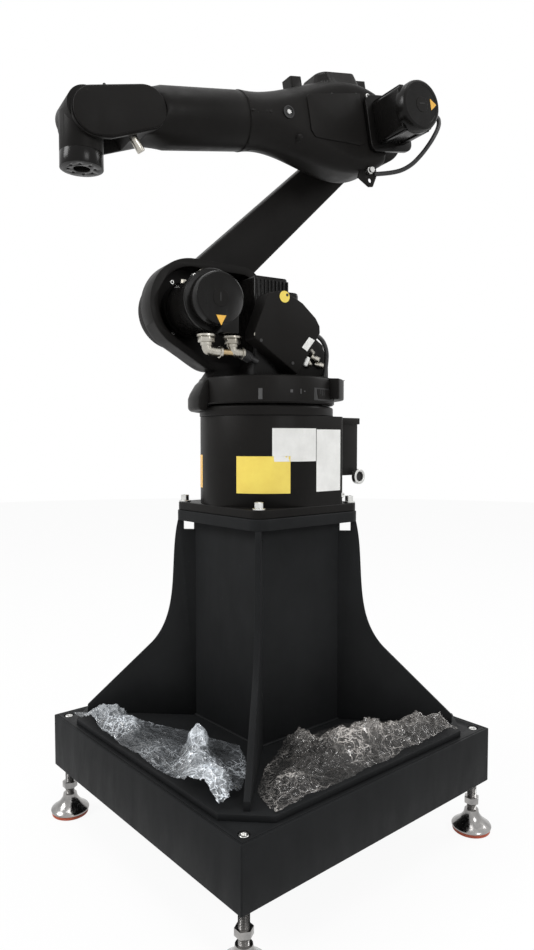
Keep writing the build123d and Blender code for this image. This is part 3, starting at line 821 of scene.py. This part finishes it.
class ROBOTARM_OT_feet(PieceOperator, bpy.types.Operator):
    """Levelling feet with threaded studs, lock nuts and rubber pads"""
    bl_idname = "robotarm.feet"
    bl_label = "Levelling feet"

    def execute(self, context):
        low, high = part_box("foot_stud_front")
        radius = (high.x - low.x) / 2 / MM
        centre = (high.x + low.x) / 2 / MM
        top = high.z / MM
        for corner, sx, sy in CORNERS:
            place = upright(sx * centre, sy * centre, 0)
            stud_foot = 48
            profile = [(radius - 3, 8), (radius - 0.5, 9), (radius, 12), (radius - 1.5, 14.5),
                       (radius - 8, 19), (radius - 18, 27), (17, 38), (15.5, 45), (15, 47.5),
                       (10, stud_foot)]
            profile += self.thread(stud_foot, top)
            stud = turned(f"stud_{corner}", profile, 40)
            nut = plate("nut", hexagon(17), 62, 76)
            soften(nut, 1.2, 2)
            smooth(stud, 40)
            item = paint(joined(f"levelling_foot_{corner}", [stud, nut]), FINISHES["chrome"])
            put(item, place)
            fit(item, "pedestal", "zinc_steel", f"foot_stud_{corner}")
            pad = turned(f"rubber_pad_{corner}", [(radius - 5, 0), (radius - 2.5, 1), (radius - 2, 4),
                                                  (radius - 2.2, 7), (radius - 3.5, 8)], 56)
            soften(pad, 0.8, 2)
            add_piece(pad, "red_rubber", place, "pedestal", "foot_rubber", f"foot_pad_{corner}")
        return {"FINISHED"}

    def thread(self, foot, top):
        """Ridges of the stud's thread, as (radius, height) pairs."""
        ridges = []
        height = foot
        while height < top - 1.2:
            ridges += [(10.2, height + 0.6), (9.2, height + 1.25), (9.2, height + 1.35)]
            height += THREAD_PITCH
        return ridges + [(10.2, top - 0.4), (10, top)]


class ROBOTARM_OT_robot_base(PieceOperator, bpy.types.Operator):
    """Base casting, ring, anchor bolts, connection box and plain stickers"""
    bl_idname = "robotarm.robot_base"
    bl_label = "Robot base"

    def execute(self, context):
        low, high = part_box("robot_base")
        floor, top = low.z / MM, high.z / MM
        flange_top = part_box("anchor_bolt_front")[0].z / MM
        flange = plate("flange", rounded_square(147, 25), floor, flange_top)
        soften(flange, 2.0, 3)
        casting = plate("casting", self.plan(BASE_R, BASE_REAR, 16), flange_top - 2, top)
        soften(casting, 1.2, 2)
        fit(paint(joined("base_casting", [casting, flange]), FINISHES["arm"]), "pedestal", "robot_black",
            "robot_base")
        ring = turned("ring", [(BASE_R - 3, top), (BASE_R + 0.4, top + 0.6), (BASE_R + 1.4, top + 2),
                               (BASE_R + 1.4, top + 17), (BASE_R, top + 19.4), (BASE_R - 6, top + 22)], 128)
        smooth(ring, 30)
        fit(paint(ring, FINISHES["arm"]), "pedestal", "robot_black", "base_ring")
        self.bolts(flange_top)
        for name, start, end, bottom, head, finish in (
                ("label_yellow", -166, -53, 760, 836, "yellow"), ("label_white", -91, 11, 825, 893, "white"),
                ("label_pale", 13, 84, 761, 891, "white"), ("label_side", -395, -281, 766, 837, "amber")):
            base_label(name, start, end, bottom, head, finish)
        screws("base_screws", [facing_base(run, up, -1) for run, up in ((-233, 746), (57, 903), (95, 746))],
               6, 4, "zinc", "pedestal", "zinc_steel")
        self.connections()
        return {"FINISHED"}

    def plan(self, radius, rear, corner):
        """Outline of the base seen from above: round front, straight sides, flat rear."""
        outline = [(radius * cos(pi + pi * step / 64), radius * sin(pi + pi * step / 64))
                   for step in range(65)]
        for quarter, side in ((0, 1), (1, -1)):
            for step in range(7):
                angle = radians(90 * quarter + 15 * step)
                outline.append((side * (radius - corner) + corner * cos(angle),
                                rear - corner + corner * sin(angle)))
        return outline

    def bolts(self, base):
        low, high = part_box("anchor_bolt_front")
        at = (low.x + high.x) / 2 / MM
        washer = turned("washer", [(12.6, base), (13, base + 0.4), (13, base + 2.6), (12.4, base + 3)], 40)
        model = socket_screw(9, 12)
        put(model, upright(0, 0, base + 3))
        model = joined("anchor", [washer, model])
        for corner, sx, sy in CORNERS:
            item = copy_at(model, upright(sx * at, sy * at, 0))
            item.name = f"flange_bolt_{corner}"
            smooth(paint(item, FINISHES["zinc"]))
            fit(item, "pedestal", "zinc_steel", f"anchor_bolt_{corner}")
        bpy.data.objects.remove(model)

    def connections(self):
        """Connection box behind the base, with its round inlet."""
        dressed("connection_box", FINISHES["arm"], "robot_black", 2.0)
        low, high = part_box("connection_box")
        right, rear, bottom = high.x / MM, high.y / MM, low.z / MM
        ring = turned("inlet", [(11, 0), (17, 0), (17, 9), (15.5, 10.5), (12.5, 10.5), (11, 9), (11, 1)], 40)
        smooth(ring, 30)
        place = columns(FORE, UP, ACROSS, Vector((right - 1, rear - 8, bottom - 3)) * MM)
        add_piece(ring, "zinc", place, "pedestal", "connector_metal")
        # painted shade: the dark core stands for the shade inside the inlet
        core = turned("inlet_core", [(10.5, 0), (10.5, 4)], 32)
        add_piece(core, "painted_hollow_shade", place, "pedestal", "robot_black")


class ROBOTARM_OT_shoulder(PieceOperator, bpy.types.Operator):
    """Turning column: turntable, moulded shoulder tub and what is screwed inside it"""
    bl_idname = "robotarm.shoulder"
    bl_label = "Shoulder"

    def execute(self, context):
        column = dressed("turning_column", FINISHES["arm"], "robot_black", self.casting_edge, 28)
        cut_below(column, DECK - 0.5)
        edit(column)
        pick_faces(column, self.lower_front)
        bpy.ops.mesh.subdivide(number_cuts=6)
        leave_edit()
        self.round_out(column)
        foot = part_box("base_ring")[1].z / MM
        self.turntable(foot + 3)
        self.fittings()
        return {"FINISHED"}

    def fittings(self):
        """Bright bar, bracket and screws inside the tub."""
        bar = block("bar", (12, 80, 6), (0, 0, 3))
        soften(bar, 1.5)
        put(bar, robot_side(-30, 187, 1166))
        bracket = plate("bracket", [(-159, 1215), (-150, 1215), (-131, 1230), (-131, 1238), (-140, 1238),
                                    (-159, 1223)], 0, 5)
        soften(bracket, 1)
        put(bracket, robot_side(-30))
        fit(paint(joined("tub_fittings", [bar, bracket]), FINISHES["nickel"]), "turning_column",
            "connector_metal")
        screws("tub_screws", [robot_side(-61, forward, up) for forward, up in
                              ((197, 1202), (195, 1094), (172, 1094), (182, 1106), (150, 1222))],
               4.5, 4, "zinc", "turning_column", "zinc_steel")

    def lower_front(self, centre, normal):
        """Long faces of the tub's outer wall that run down and back from its front."""
        bearing = degrees(atan2(normal.z, normal.dot(FORWARD)))
        return abs(normal.dot(SIDE)) < 0.5 and -80 < bearing < -25 and centre.dot(FORWARD) > 0

    def round_out(self, column):
        """Swells the tub's lower front and draws its upper front in a little."""
        inner_wall, fade = 110, 30
        push = ((-180, 0), (-100, 0), (-85, 5), (-62, 12), (-40, 9), (-15, -2), (5, -7), (60, -7), (95, 0),
                (180, 0))
        for corner in column.data.vertices:
            forward = corner.co.dot(FORWARD) - A2_FORWARD * MM
            up = corner.co.z - A2_UP * MM
            reach = hypot(forward, up) / MM
            share = min(1, max(0, (reach - inner_wall) / fade))
            if share > 0:
                amount = between(push, degrees(atan2(up, forward))) * share / reach
                corner.co += (FORWARD * forward + UP * up) * amount

    def turntable(self, low):
        """Straight-walled turntable with a hooked nose on one side, a stop block behind and rim marks."""
        disc = turned("disc", [(120, low - 3), (120, low), (TABLE_R - 3, low), (TABLE_R, low + 3),
                               (TABLE_R, DECK - 6), (TABLE_R - 1.5, DECK - 2), (TABLE_R - 6, DECK)], 160)
        smooth(disc, 30)
        nose = swung("nose", [(TABLE_R - 6, DECK), (TABLE_R + 8, DECK - 13), (TABLE_R + 19, DECK - 32),
                              (TABLE_R + 23, DECK - 43), (TABLE_R + 23, low - 6), (TABLE_R + 19, low - 12),
                              (TABLE_R + 8, low - 14), (TABLE_R + 2, low - 10), (TABLE_R + 1, low + 1),
                              (TABLE_R - 6, low + 2)], -94, -150)
        soften(nose, 2.5, 3)
        rear = swung("rear", [(TABLE_R - 6, low + 12), (TABLE_R + 21, low + 12), (TABLE_R + 21, DECK - 2),
                              (TABLE_R - 6, DECK - 0.5)], 23, 82)
        soften(rear, 2.5, 3)
        fit(paint(joined("turntable", [disc, nose, rear]), FINISHES["arm"]), "turning_column", "robot_black")
        # painted shade: the dark mark round the pane stands for the shade in the window's recess
        table_mark("table_window", 0.6, 31.4, low + 7, low + 33, 0.3, "painted_hollow_shade")
        table_mark("table_window_pane", 4, 28, low + 10, low + 30, 0.5, "cover")
        table_mark("table_pad", -46.5, -43.4, low + 7, low + 29, 0.4, "worn")
        for index, (start, end, bottom, head) in enumerate(((-21.6, -19.4, 21, 27), (-12.9, -12, 19, 29),
                                                            (-9.6, -8.4, 23, 25.4))):
            table_mark(f"table_tick_{index}", start, end, low + bottom, low + head, 0.3, "worn")


class ROBOTARM_OT_shoulder_motor(PieceOperator, bpy.types.Operator):
    """Shoulder motor with its cap, flange ring and two plated elbow connectors"""
    bl_idname = "robotarm.shoulder_motor"
    bl_label = "Shoulder motor"

    def execute(self, context):
        place = robot_side(0, A2_FORWARD - 1, A2_UP - 5)
        body = turned("motor", [(60, -61.5), (60, -42), (57, -39), (56, 58), (63, 59), (64, 61),
                                (64, 71), (62.5, 73), (54, 73.5), (53, 80), (53, 99), (51.5, 103),
                                (49, 104.6), (47.6, CAP_FACE), (15, CAP_FACE)], 96)
        smooth(body, 30)
        foot = block("extension", (38, 38, 44), (21, -48, 82))
        soften(foot, 1.6, 2)
        fit(put(paint(joined("shoulder_motor_body", [body, foot]), FINISHES["motor"]), place),
            "turning_column", "motor_black", "shoulder_motor")
        self.cap_face(place)
        ring = [place @ upright(59 * cos(radians(angle)), 59 * sin(radians(angle)), 73)
                for angle in (45, 135, 215, -30)]
        screws("motor_ring_screws", ring, 3.6, 3.5, "zinc", "turning_column", "zinc_steel")
        self.connectors()
        return {"FINISHED"}

    def cap_face(self, place):
        """Plug with a slot, and the plain triangle below it."""
        plug = turned("plug", [(17.5, CAP_FACE - 0.4), (17.5, CAP_FACE + 0.6), (17, CAP_FACE + 0.8)], 48)
        add_piece(plug, "cover", place, "turning_column", "motor_black")
        # painted shade: the slot is a dark block on the plug, standing for the shade in the slot
        slot = block("slot", (1.6, 17, 0.7), (-1, 2, CAP_FACE + 0.8))
        add_piece(slot, "painted_hollow_shade", place, "turning_column", "motor_black")
        triangle = plate("triangle", [(-11, -34), (11, -34), (0, -54)], CAP_FACE, CAP_FACE + 0.7)
        add_piece(triangle, "amber", place, "turning_column", "motor_black")

    def connectors(self):
        """Two plated elbow connectors under the motor, a pipe between them and a ribbed gland."""
        metal = []
        side, drop = 80, 31
        base = A2_UP - 77
        for forward, reach in ((A2_FORWARD + 20, 32), (A2_FORWARD - 38, 24)):
            place = robot_up(side, forward, base)
            nut = plate("nut", hexagon(17), -14, -3)
            soften(nut, 1.2, 2)
            collar = turned("collar", [(15, -3), (19, -2.4), (19, 1.4), (17, 2)], 40)
            neck = turned("neck", [(11.5, -20), (12, -18), (12, -14), (14, -13.4)], 32)
            bend = tube("bend", [(0, 0, -14), (0, 0, -24), (0, 6, -drop), (0, reach, -drop)], 10)
            lip = turned("lip", [(11, 0), (12, 0.6), (12, 5), (11, 5.6)], 32)
            put(lip, upright(0, reach - 4, -drop) @ Matrix.Rotation(radians(-90), 4, "X"))
            for part in (collar, neck, lip):
                smooth(part, 30)
            metal += [put(part, place) for part in (nut, collar, neck, bend, lip)]
        height = base - drop
        pipe = tube("pipe", [(side, back - A2_FORWARD, height) for back in (10, 24, 38)], 7)
        put(pipe, robot_up(0))
        fit(paint(joined("plated_elbows", metal), FINISHES["nickel"]), "turning_column", "connector_metal",
            "shoulder_connectors")
        fit(paint(joined("connector_pipe", [pipe]), FINISHES["brass"]), "turning_column", "connector_metal")
        self.gland(height)

    def gland(self, height):
        """Ribbed sleeve that runs back and down from the second elbow."""
        pitch = 3.4
        profile = [(9, 0)]
        for rib in range(6):
            profile += [(11.5, pitch * rib + 0.4), (11.5, pitch * rib + 2), (9.2, pitch * rib + 2.6)]
        profile += [(7.5, 23), (7.5, 38)]
        sleeve = turned("sleeve", profile, 32)
        smooth(sleeve, 30)
        place = robot_up(80, A2_FORWARD - 60, height) @ Matrix.Rotation(radians(-112), 4, "X")
        add_piece(sleeve, "sheath", place, "turning_column", "cable_black")


class ROBOTARM_OT_base_motor(PieceOperator, bpy.types.Operator):
    """Base motor with its ribbed sides, and the angular cover beside it"""
    bl_idname = "robotarm.base_motor"
    bl_label = "Base motor"

    def execute(self, context):
        self.motor()
        self.cover()
        self.plugs()
        return {"FINISHED"}

    def motor(self):
        """Upright motor block with a lower step behind it and ribs down its side."""
        top, step_top = 1212, 1186
        body = block("motor", (70, 88, top - DECK), (35, -26, (DECK + top) / 2))
        edit(body)
        pick_faces(body, lambda centre, normal: normal.z > 0.9)
        bpy.ops.transform.resize(value=(0.9, 0.9, 1))
        leave_edit()
        soften(body, 5, 3)
        rear = block("rear", (64, 40, step_top - DECK), (34, 24, (DECK + step_top) / 2))
        soften(rear, 8, 3)
        parts = [put(body, robot_up(0)), put(rear, robot_up(0))]
        pitch = 9
        for number in range(self.look.fin_count):
            rib = tube(f"rib_{number}", [(0, 0, 1120), (0, 0, top - 8)], 2.4)
            parts.append(put(rib, robot_up(67.5, 60 - pitch * number)))
        fit(paint(joined("base_motor_body", parts), FINISHES["motor"]), "turning_column", "motor_black",
            "base_motor")

    def cover(self):
        """Angular plastic cover with a round mark, a plain label and two screws."""
        outline = [(-57, 1169), (-18, 1178), (27, 1155), (60, 1127), (70, 1111), (71, 1096), (13, 1005),
                   (-89, 1075), (-89, 1090), (-68, 1142), (-63, 1161)]
        shell = plate("shell", outline, 62, COVER_FACE)
        soften(shell, 3, 3)
        add_piece(shell, "cover", robot_side(0), "turning_column", "robot_black", "motor_cover")
        dot = turned("dot", [(12, 0), (12, 0.5)], 40)
        add_piece(dot, "yellow", robot_side(COVER_FACE, 19, 1164), "turning_column", "robot_black")
        # painted shade: the holes are thin dark discs on the cover face, standing for the shade inside them
        for name, radius, forward, up in (("dot_hole", 3, 13, 1168), ("cover_hole_1", 3.4, 75, 1071),
                                          ("cover_hole_2", 3.4, -1, 1029)):
            hole = turned(name, [(radius, 0), (radius, 0.9)], 24)
            add_piece(hole, "painted_hollow_shade", robot_side(COVER_FACE, forward, up), "turning_column", "robot_black")
        label = plate("label", [(42, 1086), (56, 1080), (37, 1056), (24, 1063)], COVER_FACE,
                      COVER_FACE + 0.6)
        add_piece(label, "white", robot_side(0), "turning_column", "robot_black")
        places = [robot_side(COVER_FACE - 1.5, forward, up) for forward, up in ((86, 1079), (-9, 1019))]
        screws("cover_screws", places, 4.2, 3.6, "nickel", "turning_column", "zinc_steel")

    def plugs(self):
        """Dark connector bank behind the cover, with bright plugs."""
        bank_face = 58
        outline = [(40, 1100), (84, 1099), (112, 1080), (128, 1030), (128, 1002), (10, 1002)]
        bank = plate("bank", outline, 30, bank_face)
        soften(bank, 4, 2)
        add_piece(bank, "cover", robot_side(0), "turning_column", "robot_black")
        for number, (forward, up, lean) in enumerate(((-70, 1070, 30), (-80, 1052, 60), (-66, 1046, 15),
                                                      (-90, 1036, 75))):
            plug = turned(f"plug_{number}", [(5, 0), (5, 9), (7, 9.6), (7, 19), (5.6, 20), (3, 20.6)], 24)
            smooth(plug, 30)
            place = robot_side(bank_face, forward, up) @ Matrix.Rotation(radians(lean), 4, "Z")
            add_piece(plug, "nickel", place @ Matrix.Rotation(radians(60), 4, "X"), "turning_column",
                      "zinc_steel")
        capsule = block("capsule", (10, 22, 8), (0, 0, 4))
        soften(capsule, 3.5, 3)
        place = robot_side(96, -40, 1035) @ Matrix.Rotation(radians(-25), 4, "Z")
        add_piece(capsule, "white", place, "turning_column", "zinc_steel")


class ROBOTARM_OT_link(PieceOperator, bpy.types.Operator):
    """Link arm between shoulder and elbow"""
    bl_idname = "robotarm.link"
    bl_label = "Link arm"

    def execute(self, context):
        link = dressed("link_arm", FINISHES["arm"], "robot_black", self.casting_edge, 28)
        self.taper(link)
        return {"FINISHED"}

    def taper(self, link):
        """Draws the front edge in towards the elbow."""
        start = Vector(JOINTS["shoulder"]["pos_m"])
        span = Vector(JOINTS["elbow"]["pos_m"]) - start
        span -= SIDE * span.dot(SIDE)
        along = span.normalized()
        across = along.cross(SIDE)
        if across.dot(FORWARD) < 0:
            across = -across
        narrowing = 0.42
        for corner in link.data.vertices:
            offset = corner.co - start
            share = offset.dot(along) / span.length
            width = offset.dot(across)
            if width > 0 and 0 < share < 1.1:
                corner.co -= across * width * narrowing * min(share, 1)


class ROBOTARM_OT_housing(PieceOperator, bpy.types.Operator):
    """Arm housing with its side cover and screws"""
    bl_idname = "robotarm.housing"
    bl_label = "Arm housing"

    def execute(self, context):
        dressed("arm_housing", FINISHES["arm"], "robot_black", 0)
        dressed("housing_cover", FINISHES["cover"], "robot_black", 0.8)
        dressed("elbow_bracket", FINISHES["arm"], "robot_black", 0.8)
        plug = turned("plug", [(5, -2), (5, 1), (8, 1.4), (8, 9), (6.6, 10), (6.6, 16), (5, 17)], 32)
        smooth(plug, 30)
        add_piece(plug, "zinc", arm_side(47, 60, -118), "arm_housing", "zinc_steel")
        flank = 62
        hole_at = arm_side(flank, 267, -1)
        # painted shade: the dark ring stands for the shade in the hole round the stud
        hole = turned("hole", [(13, -1), (13, 1), (10.5, 1), (10, -0.6)], 40)
        add_piece(hole, "painted_hollow_shade", hole_at, "arm_housing", "robot_black")
        stud = turned("stud", [(4.6, -1), (4.6, 1.6), (3.8, 2)], 24)
        add_piece(stud, "zinc", hole_at, "arm_housing", "zinc_steel")
        screws("housing_screws", [arm_side(flank, along, up) for along, up in
                                  ((207, 33), (145, 39), (76, 42), (206, -40), (147, -49), (95, -56))],
               3.4, 1.6, "dark_steel", "arm_housing", "robot_black")
        return {"FINISHED"}


class ROBOTARM_OT_elbow_motor(PieceOperator, bpy.types.Operator):
    """Elbow motor, square on its flange plate, with a round cap and guide rails"""
    bl_idname = "robotarm.elbow_motor"
    bl_label = "Elbow motor"

    def execute(self, context):
        place = arm_side(0, 0, -20)
        flange = plate("flange", rounded_square(61, 18), 60, 72)
        soften(flange, 1.5, 3)
        body = plate("body", rounded_square(44, 8), 72, 158)
        soften(body, 1.5, 3)
        cap = turned("cap", [(50, 150), (53, 154), (53, 172), (51, 177), (47, 180), (41, 180),
                             (40.4, ELBOW_CAP_FACE), (15, ELBOW_CAP_FACE)], 96)
        smooth(cap, 30)
        rails = [plate("rail", [(sx * 30 + dx, sy * 44 + dy) for dx, dy in
                                ((-7, -3), (7, -3), (6, 5), (-6, 5))], 72, 156)
                 for sx in (-1, 1) for sy in (-1, 1)]
        for rail in rails:
            soften(rail, 1.5, 2)
        fit(put(paint(joined("elbow_motor_body", [flange, body, cap, *rails]), FINISHES["motor"]), place),
            "arm_housing", "motor_black", "elbow_motor")
        self.cap_face(place)
        corners = [place @ upright(sx * 53, sy * 53, 71.5) for sx in (-1, 1) for sy in (-1, 1)]
        screws("elbow_flange_screws", corners, 5.2, 5, "zinc", "arm_housing", "zinc_steel")
        return {"FINISHED"}

    def cap_face(self, place):
        """Plug with a slot, and the plain triangle beside it."""
        face = ELBOW_CAP_FACE
        plug = turned("plug", [(16, face - 0.4), (16, face + 0.5), (15.4, face + 0.7)], 48)
        add_piece(plug, "cover", place, "arm_housing", "motor_black")
        # painted shade: the slot is a dark block on the plug, standing for the shade in the slot
        slot = block("slot", (15, 1.5, 0.7), (0, 2, face + 0.7))
        add_piece(slot, "painted_hollow_shade", place, "arm_housing", "motor_black")
        triangle = plate("triangle", [(25, 12), (25, -12), (42, 0)], face, face + 0.6)
        add_piece(triangle, "amber", place, "arm_housing", "motor_black")


class ROBOTARM_OT_forearm(PieceOperator, bpy.types.Operator):
    """Forearm tube, wrist covers and pressure gauge"""
    bl_idname = "robotarm.forearm"
    bl_label = "Forearm"

    def execute(self, context):
        dressed("forearm", FINISHES["arm"], "robot_black", self.casting_edge, 28)
        dressed("wrist_cover_near", FINISHES["cover"], "robot_black", 2.5)
        dressed("wrist_cover_far", FINISHES["cover"], "robot_black", 2.5)
        dressed("gauge_cartridge", FINISHES["nickel"], "connector_metal", 1.0)
        screws("wrist_cover_screws", [arm_side(55.4, along, up) for along, up in
                                      ((665, 33), (612, 32), (555, 10), (712, 0), (610, -31))],
               3.2, 1.4, "dark_steel", "forearm", "robot_black")
        return {"FINISHED"}


class ROBOTARM_OT_wrist(PieceOperator, bpy.types.Operator):
    """Wrist and tool flange"""
    bl_idname = "robotarm.wrist"
    bl_label = "Wrist"

    def execute(self, context):
        dressed("wrist", FINISHES["arm"], "robot_black", 2.0)
        dressed("tool_flange", FINISHES["motor"], "robot_black", 1.0)
        return {"FINISHED"}


class ROBOTARM_OT_cables(PieceOperator, bpy.types.Operator):
    """Short cables at the elbow motor and behind the motor cover"""
    bl_idname = "robotarm.cables"
    bl_label = "Cables"

    def execute(self, context):
        cable("elbow_cable_run", [arm_side(*point).translation for point in ELBOW_ROUTE],
              "elbow_cable", "arm_housing")
        cable("column_cable_run", [robot_side(*point).translation for point in COLUMN_ROUTE],
              "column_cable", "turning_column")
        return {"FINISHED"}


def between(places, where):
    """Height of a broken line, given as (place, value) pairs, at one place."""
    for (first, low), (second, high) in zip(places, places[1:]):
        if where <= second:
            return low + (high - low) * (where - first) / (second - first)
    return places[-1][1]


def folds(place, size):
    """Sharp creases from ridged noise at three scales, between about -1 and 1."""
    total = 0
    for share, scale in ((1, 1), (0.55, 2.3), (0.3, 5.3)):
        total += share * (1 - 2.4 * abs(noise.noise(place * (scale / size))))
    return total / 1.85


class ROBOTARM_OT_film(PieceOperator, bpy.types.Operator):
    """Clear stretch film left crumpled on the base plate, one sheet along each front edge"""
    bl_idname = "robotarm.film"
    bl_label = "Stretch film"

    def execute(self, context):
        self.sheet("film_sheet_left", "left",
                   ((-292, 12), (-240, 56), (-180, 84), (-40, 142), (90, 182), (170, 140), (235, 74),
                    (262, 12)),
                   ((-200, 36, 52, 32), (-120, 44, 46, 24), (69, 97, 27, 58), (184, 32, 54, 32),
                    (118, 60, 46, 26), (0, 46, 60, 10), (230, 16, 38, 30)),
                   (0.61, 0.165), ("film_left", "film_ball"))
        self.sheet("film_sheet_right", "right",
                   ((-262, 16), (-242, 72), (-172, 132), (-60, 190), (100, 180), (168, 132), (258, 44),
                    (266, 12)),
                   ((-24, 74, 60, 50), (38, 62, 34, 50), (-70, 148, 38, 34), (92, 52, 54, 34),
                    (168, 46, 46, 40), (222, 28, 32, 30), (-180, 46, 44, 22), (-120, 82, 42, 18)),
                   (0.62, 0.2), ("film_right",))
        return {"FINISHED"}

    def sheet(self, name, side, reach, heaps, flat, nodes):
        """reach is how far the film comes in from the plate's edge, along that edge; heaps are
        (run, distance in, radius, height)."""
        bpy.ops.mesh.primitive_grid_add(x_subdivisions=260, y_subdivisions=76, size=1)
        item = bpy.context.object
        item.name = name
        first, last = reach[0][0], reach[-1][0]
        for corner in item.data.vertices:
            across = corner.co.x + 0.5
            inward = corner.co.y + 0.5
            run = first + (last - first) * across
            depth = between(reach, run) * inward
            corner.co = self.fold(run, depth, heaps, side)
        edit(item)
        bpy.ops.mesh.quads_convert_to_tris()
        leave_edit()
        smooth(item, 24)
        paint(item, FINISHES["film_" + side])
        fit(item, "pedestal", "clear_film", *nodes)

    def fold(self, run, depth, heaps, side):
        """Place of one point of the film: the heaps, then creases, then streaks pulled between them."""
        rise = 0
        for at_run, at_depth, radius, height in heaps:
            apart = hypot(run - at_run, depth - at_depth) / radius
            rise += height * exp(-1.6 * apart ** 2.4)
        spot = Vector((run, depth, 3 if side == "left" else 90))
        loose = min(1, 0.22 + rise / 26)
        crease = folds(spot, 46) * 9 * loose + folds(spot * 1.7, 17) * 3.2 * loose
        streak = folds(Vector((run * 0.35 + depth * 0.3, depth, 7)), 15) * 1.6
        run += 9 * loose * noise.noise(spot / 16) + 4 * loose * noise.noise(spot / 6)
        depth += 9 * loose * noise.noise(spot / 15 + Vector((9, 4, 2)))
        height = PLATE_TOP + max(0.5, 2.6 + rise * (0.82 + 0.2 * folds(spot, 30)) + crease + streak)
        out = PLATE_EDGE - 3 - max(depth, 0.5)
        if side == "left":
            return Vector((run, -out, height)) * MM
        return Vector((out, run, height)) * MM


class ROBOTARM_PT_panel(bpy.types.Panel):
    """Lists the pieces of the arm in the order they are made"""
    bl_idname = "ROBOTARM_PT_panel"
    bl_label = "Robot Arm"
    bl_space_type = "VIEW_3D"
    bl_region_type = "UI"
    bl_category = "Robot Arm"

    def draw(self, context):
        look = context.scene.robot_arm_look
        for value in ("plate_black", "arm_black", "plate_edge", "casting_edge", "fin_count"):
            self.layout.prop(look, value)
        for piece in PIECES:
            self.layout.operator(piece.bl_idname)


PIECES = (ROBOTARM_OT_stage, ROBOTARM_OT_pedestal, ROBOTARM_OT_feet, ROBOTARM_OT_robot_base,
          ROBOTARM_OT_shoulder, ROBOTARM_OT_shoulder_motor, ROBOTARM_OT_base_motor, ROBOTARM_OT_link,
          ROBOTARM_OT_housing, ROBOTARM_OT_elbow_motor, ROBOTARM_OT_forearm, ROBOTARM_OT_wrist,
          ROBOTARM_OT_cables, ROBOTARM_OT_film)
CLASSES = (RobotArmLook, *PIECES, ROBOTARM_PT_panel)


def register():
    for item in CLASSES:
        bpy.utils.register_class(item)
    bpy.types.Scene.robot_arm_look = bpy.props.PointerProperty(type=RobotArmLook)


def unregister():
    del bpy.types.Scene.robot_arm_look
    for item in reversed(CLASSES):
        bpy.utils.unregister_class(item)


def main():
    register()
    make_finishes(bpy.context.scene.robot_arm_look)
    for piece in PIECES:
        group, action = piece.bl_idname.split(".")
        getattr(getattr(bpy.ops, group), action)()


if __name__ == "__main__":
    main()
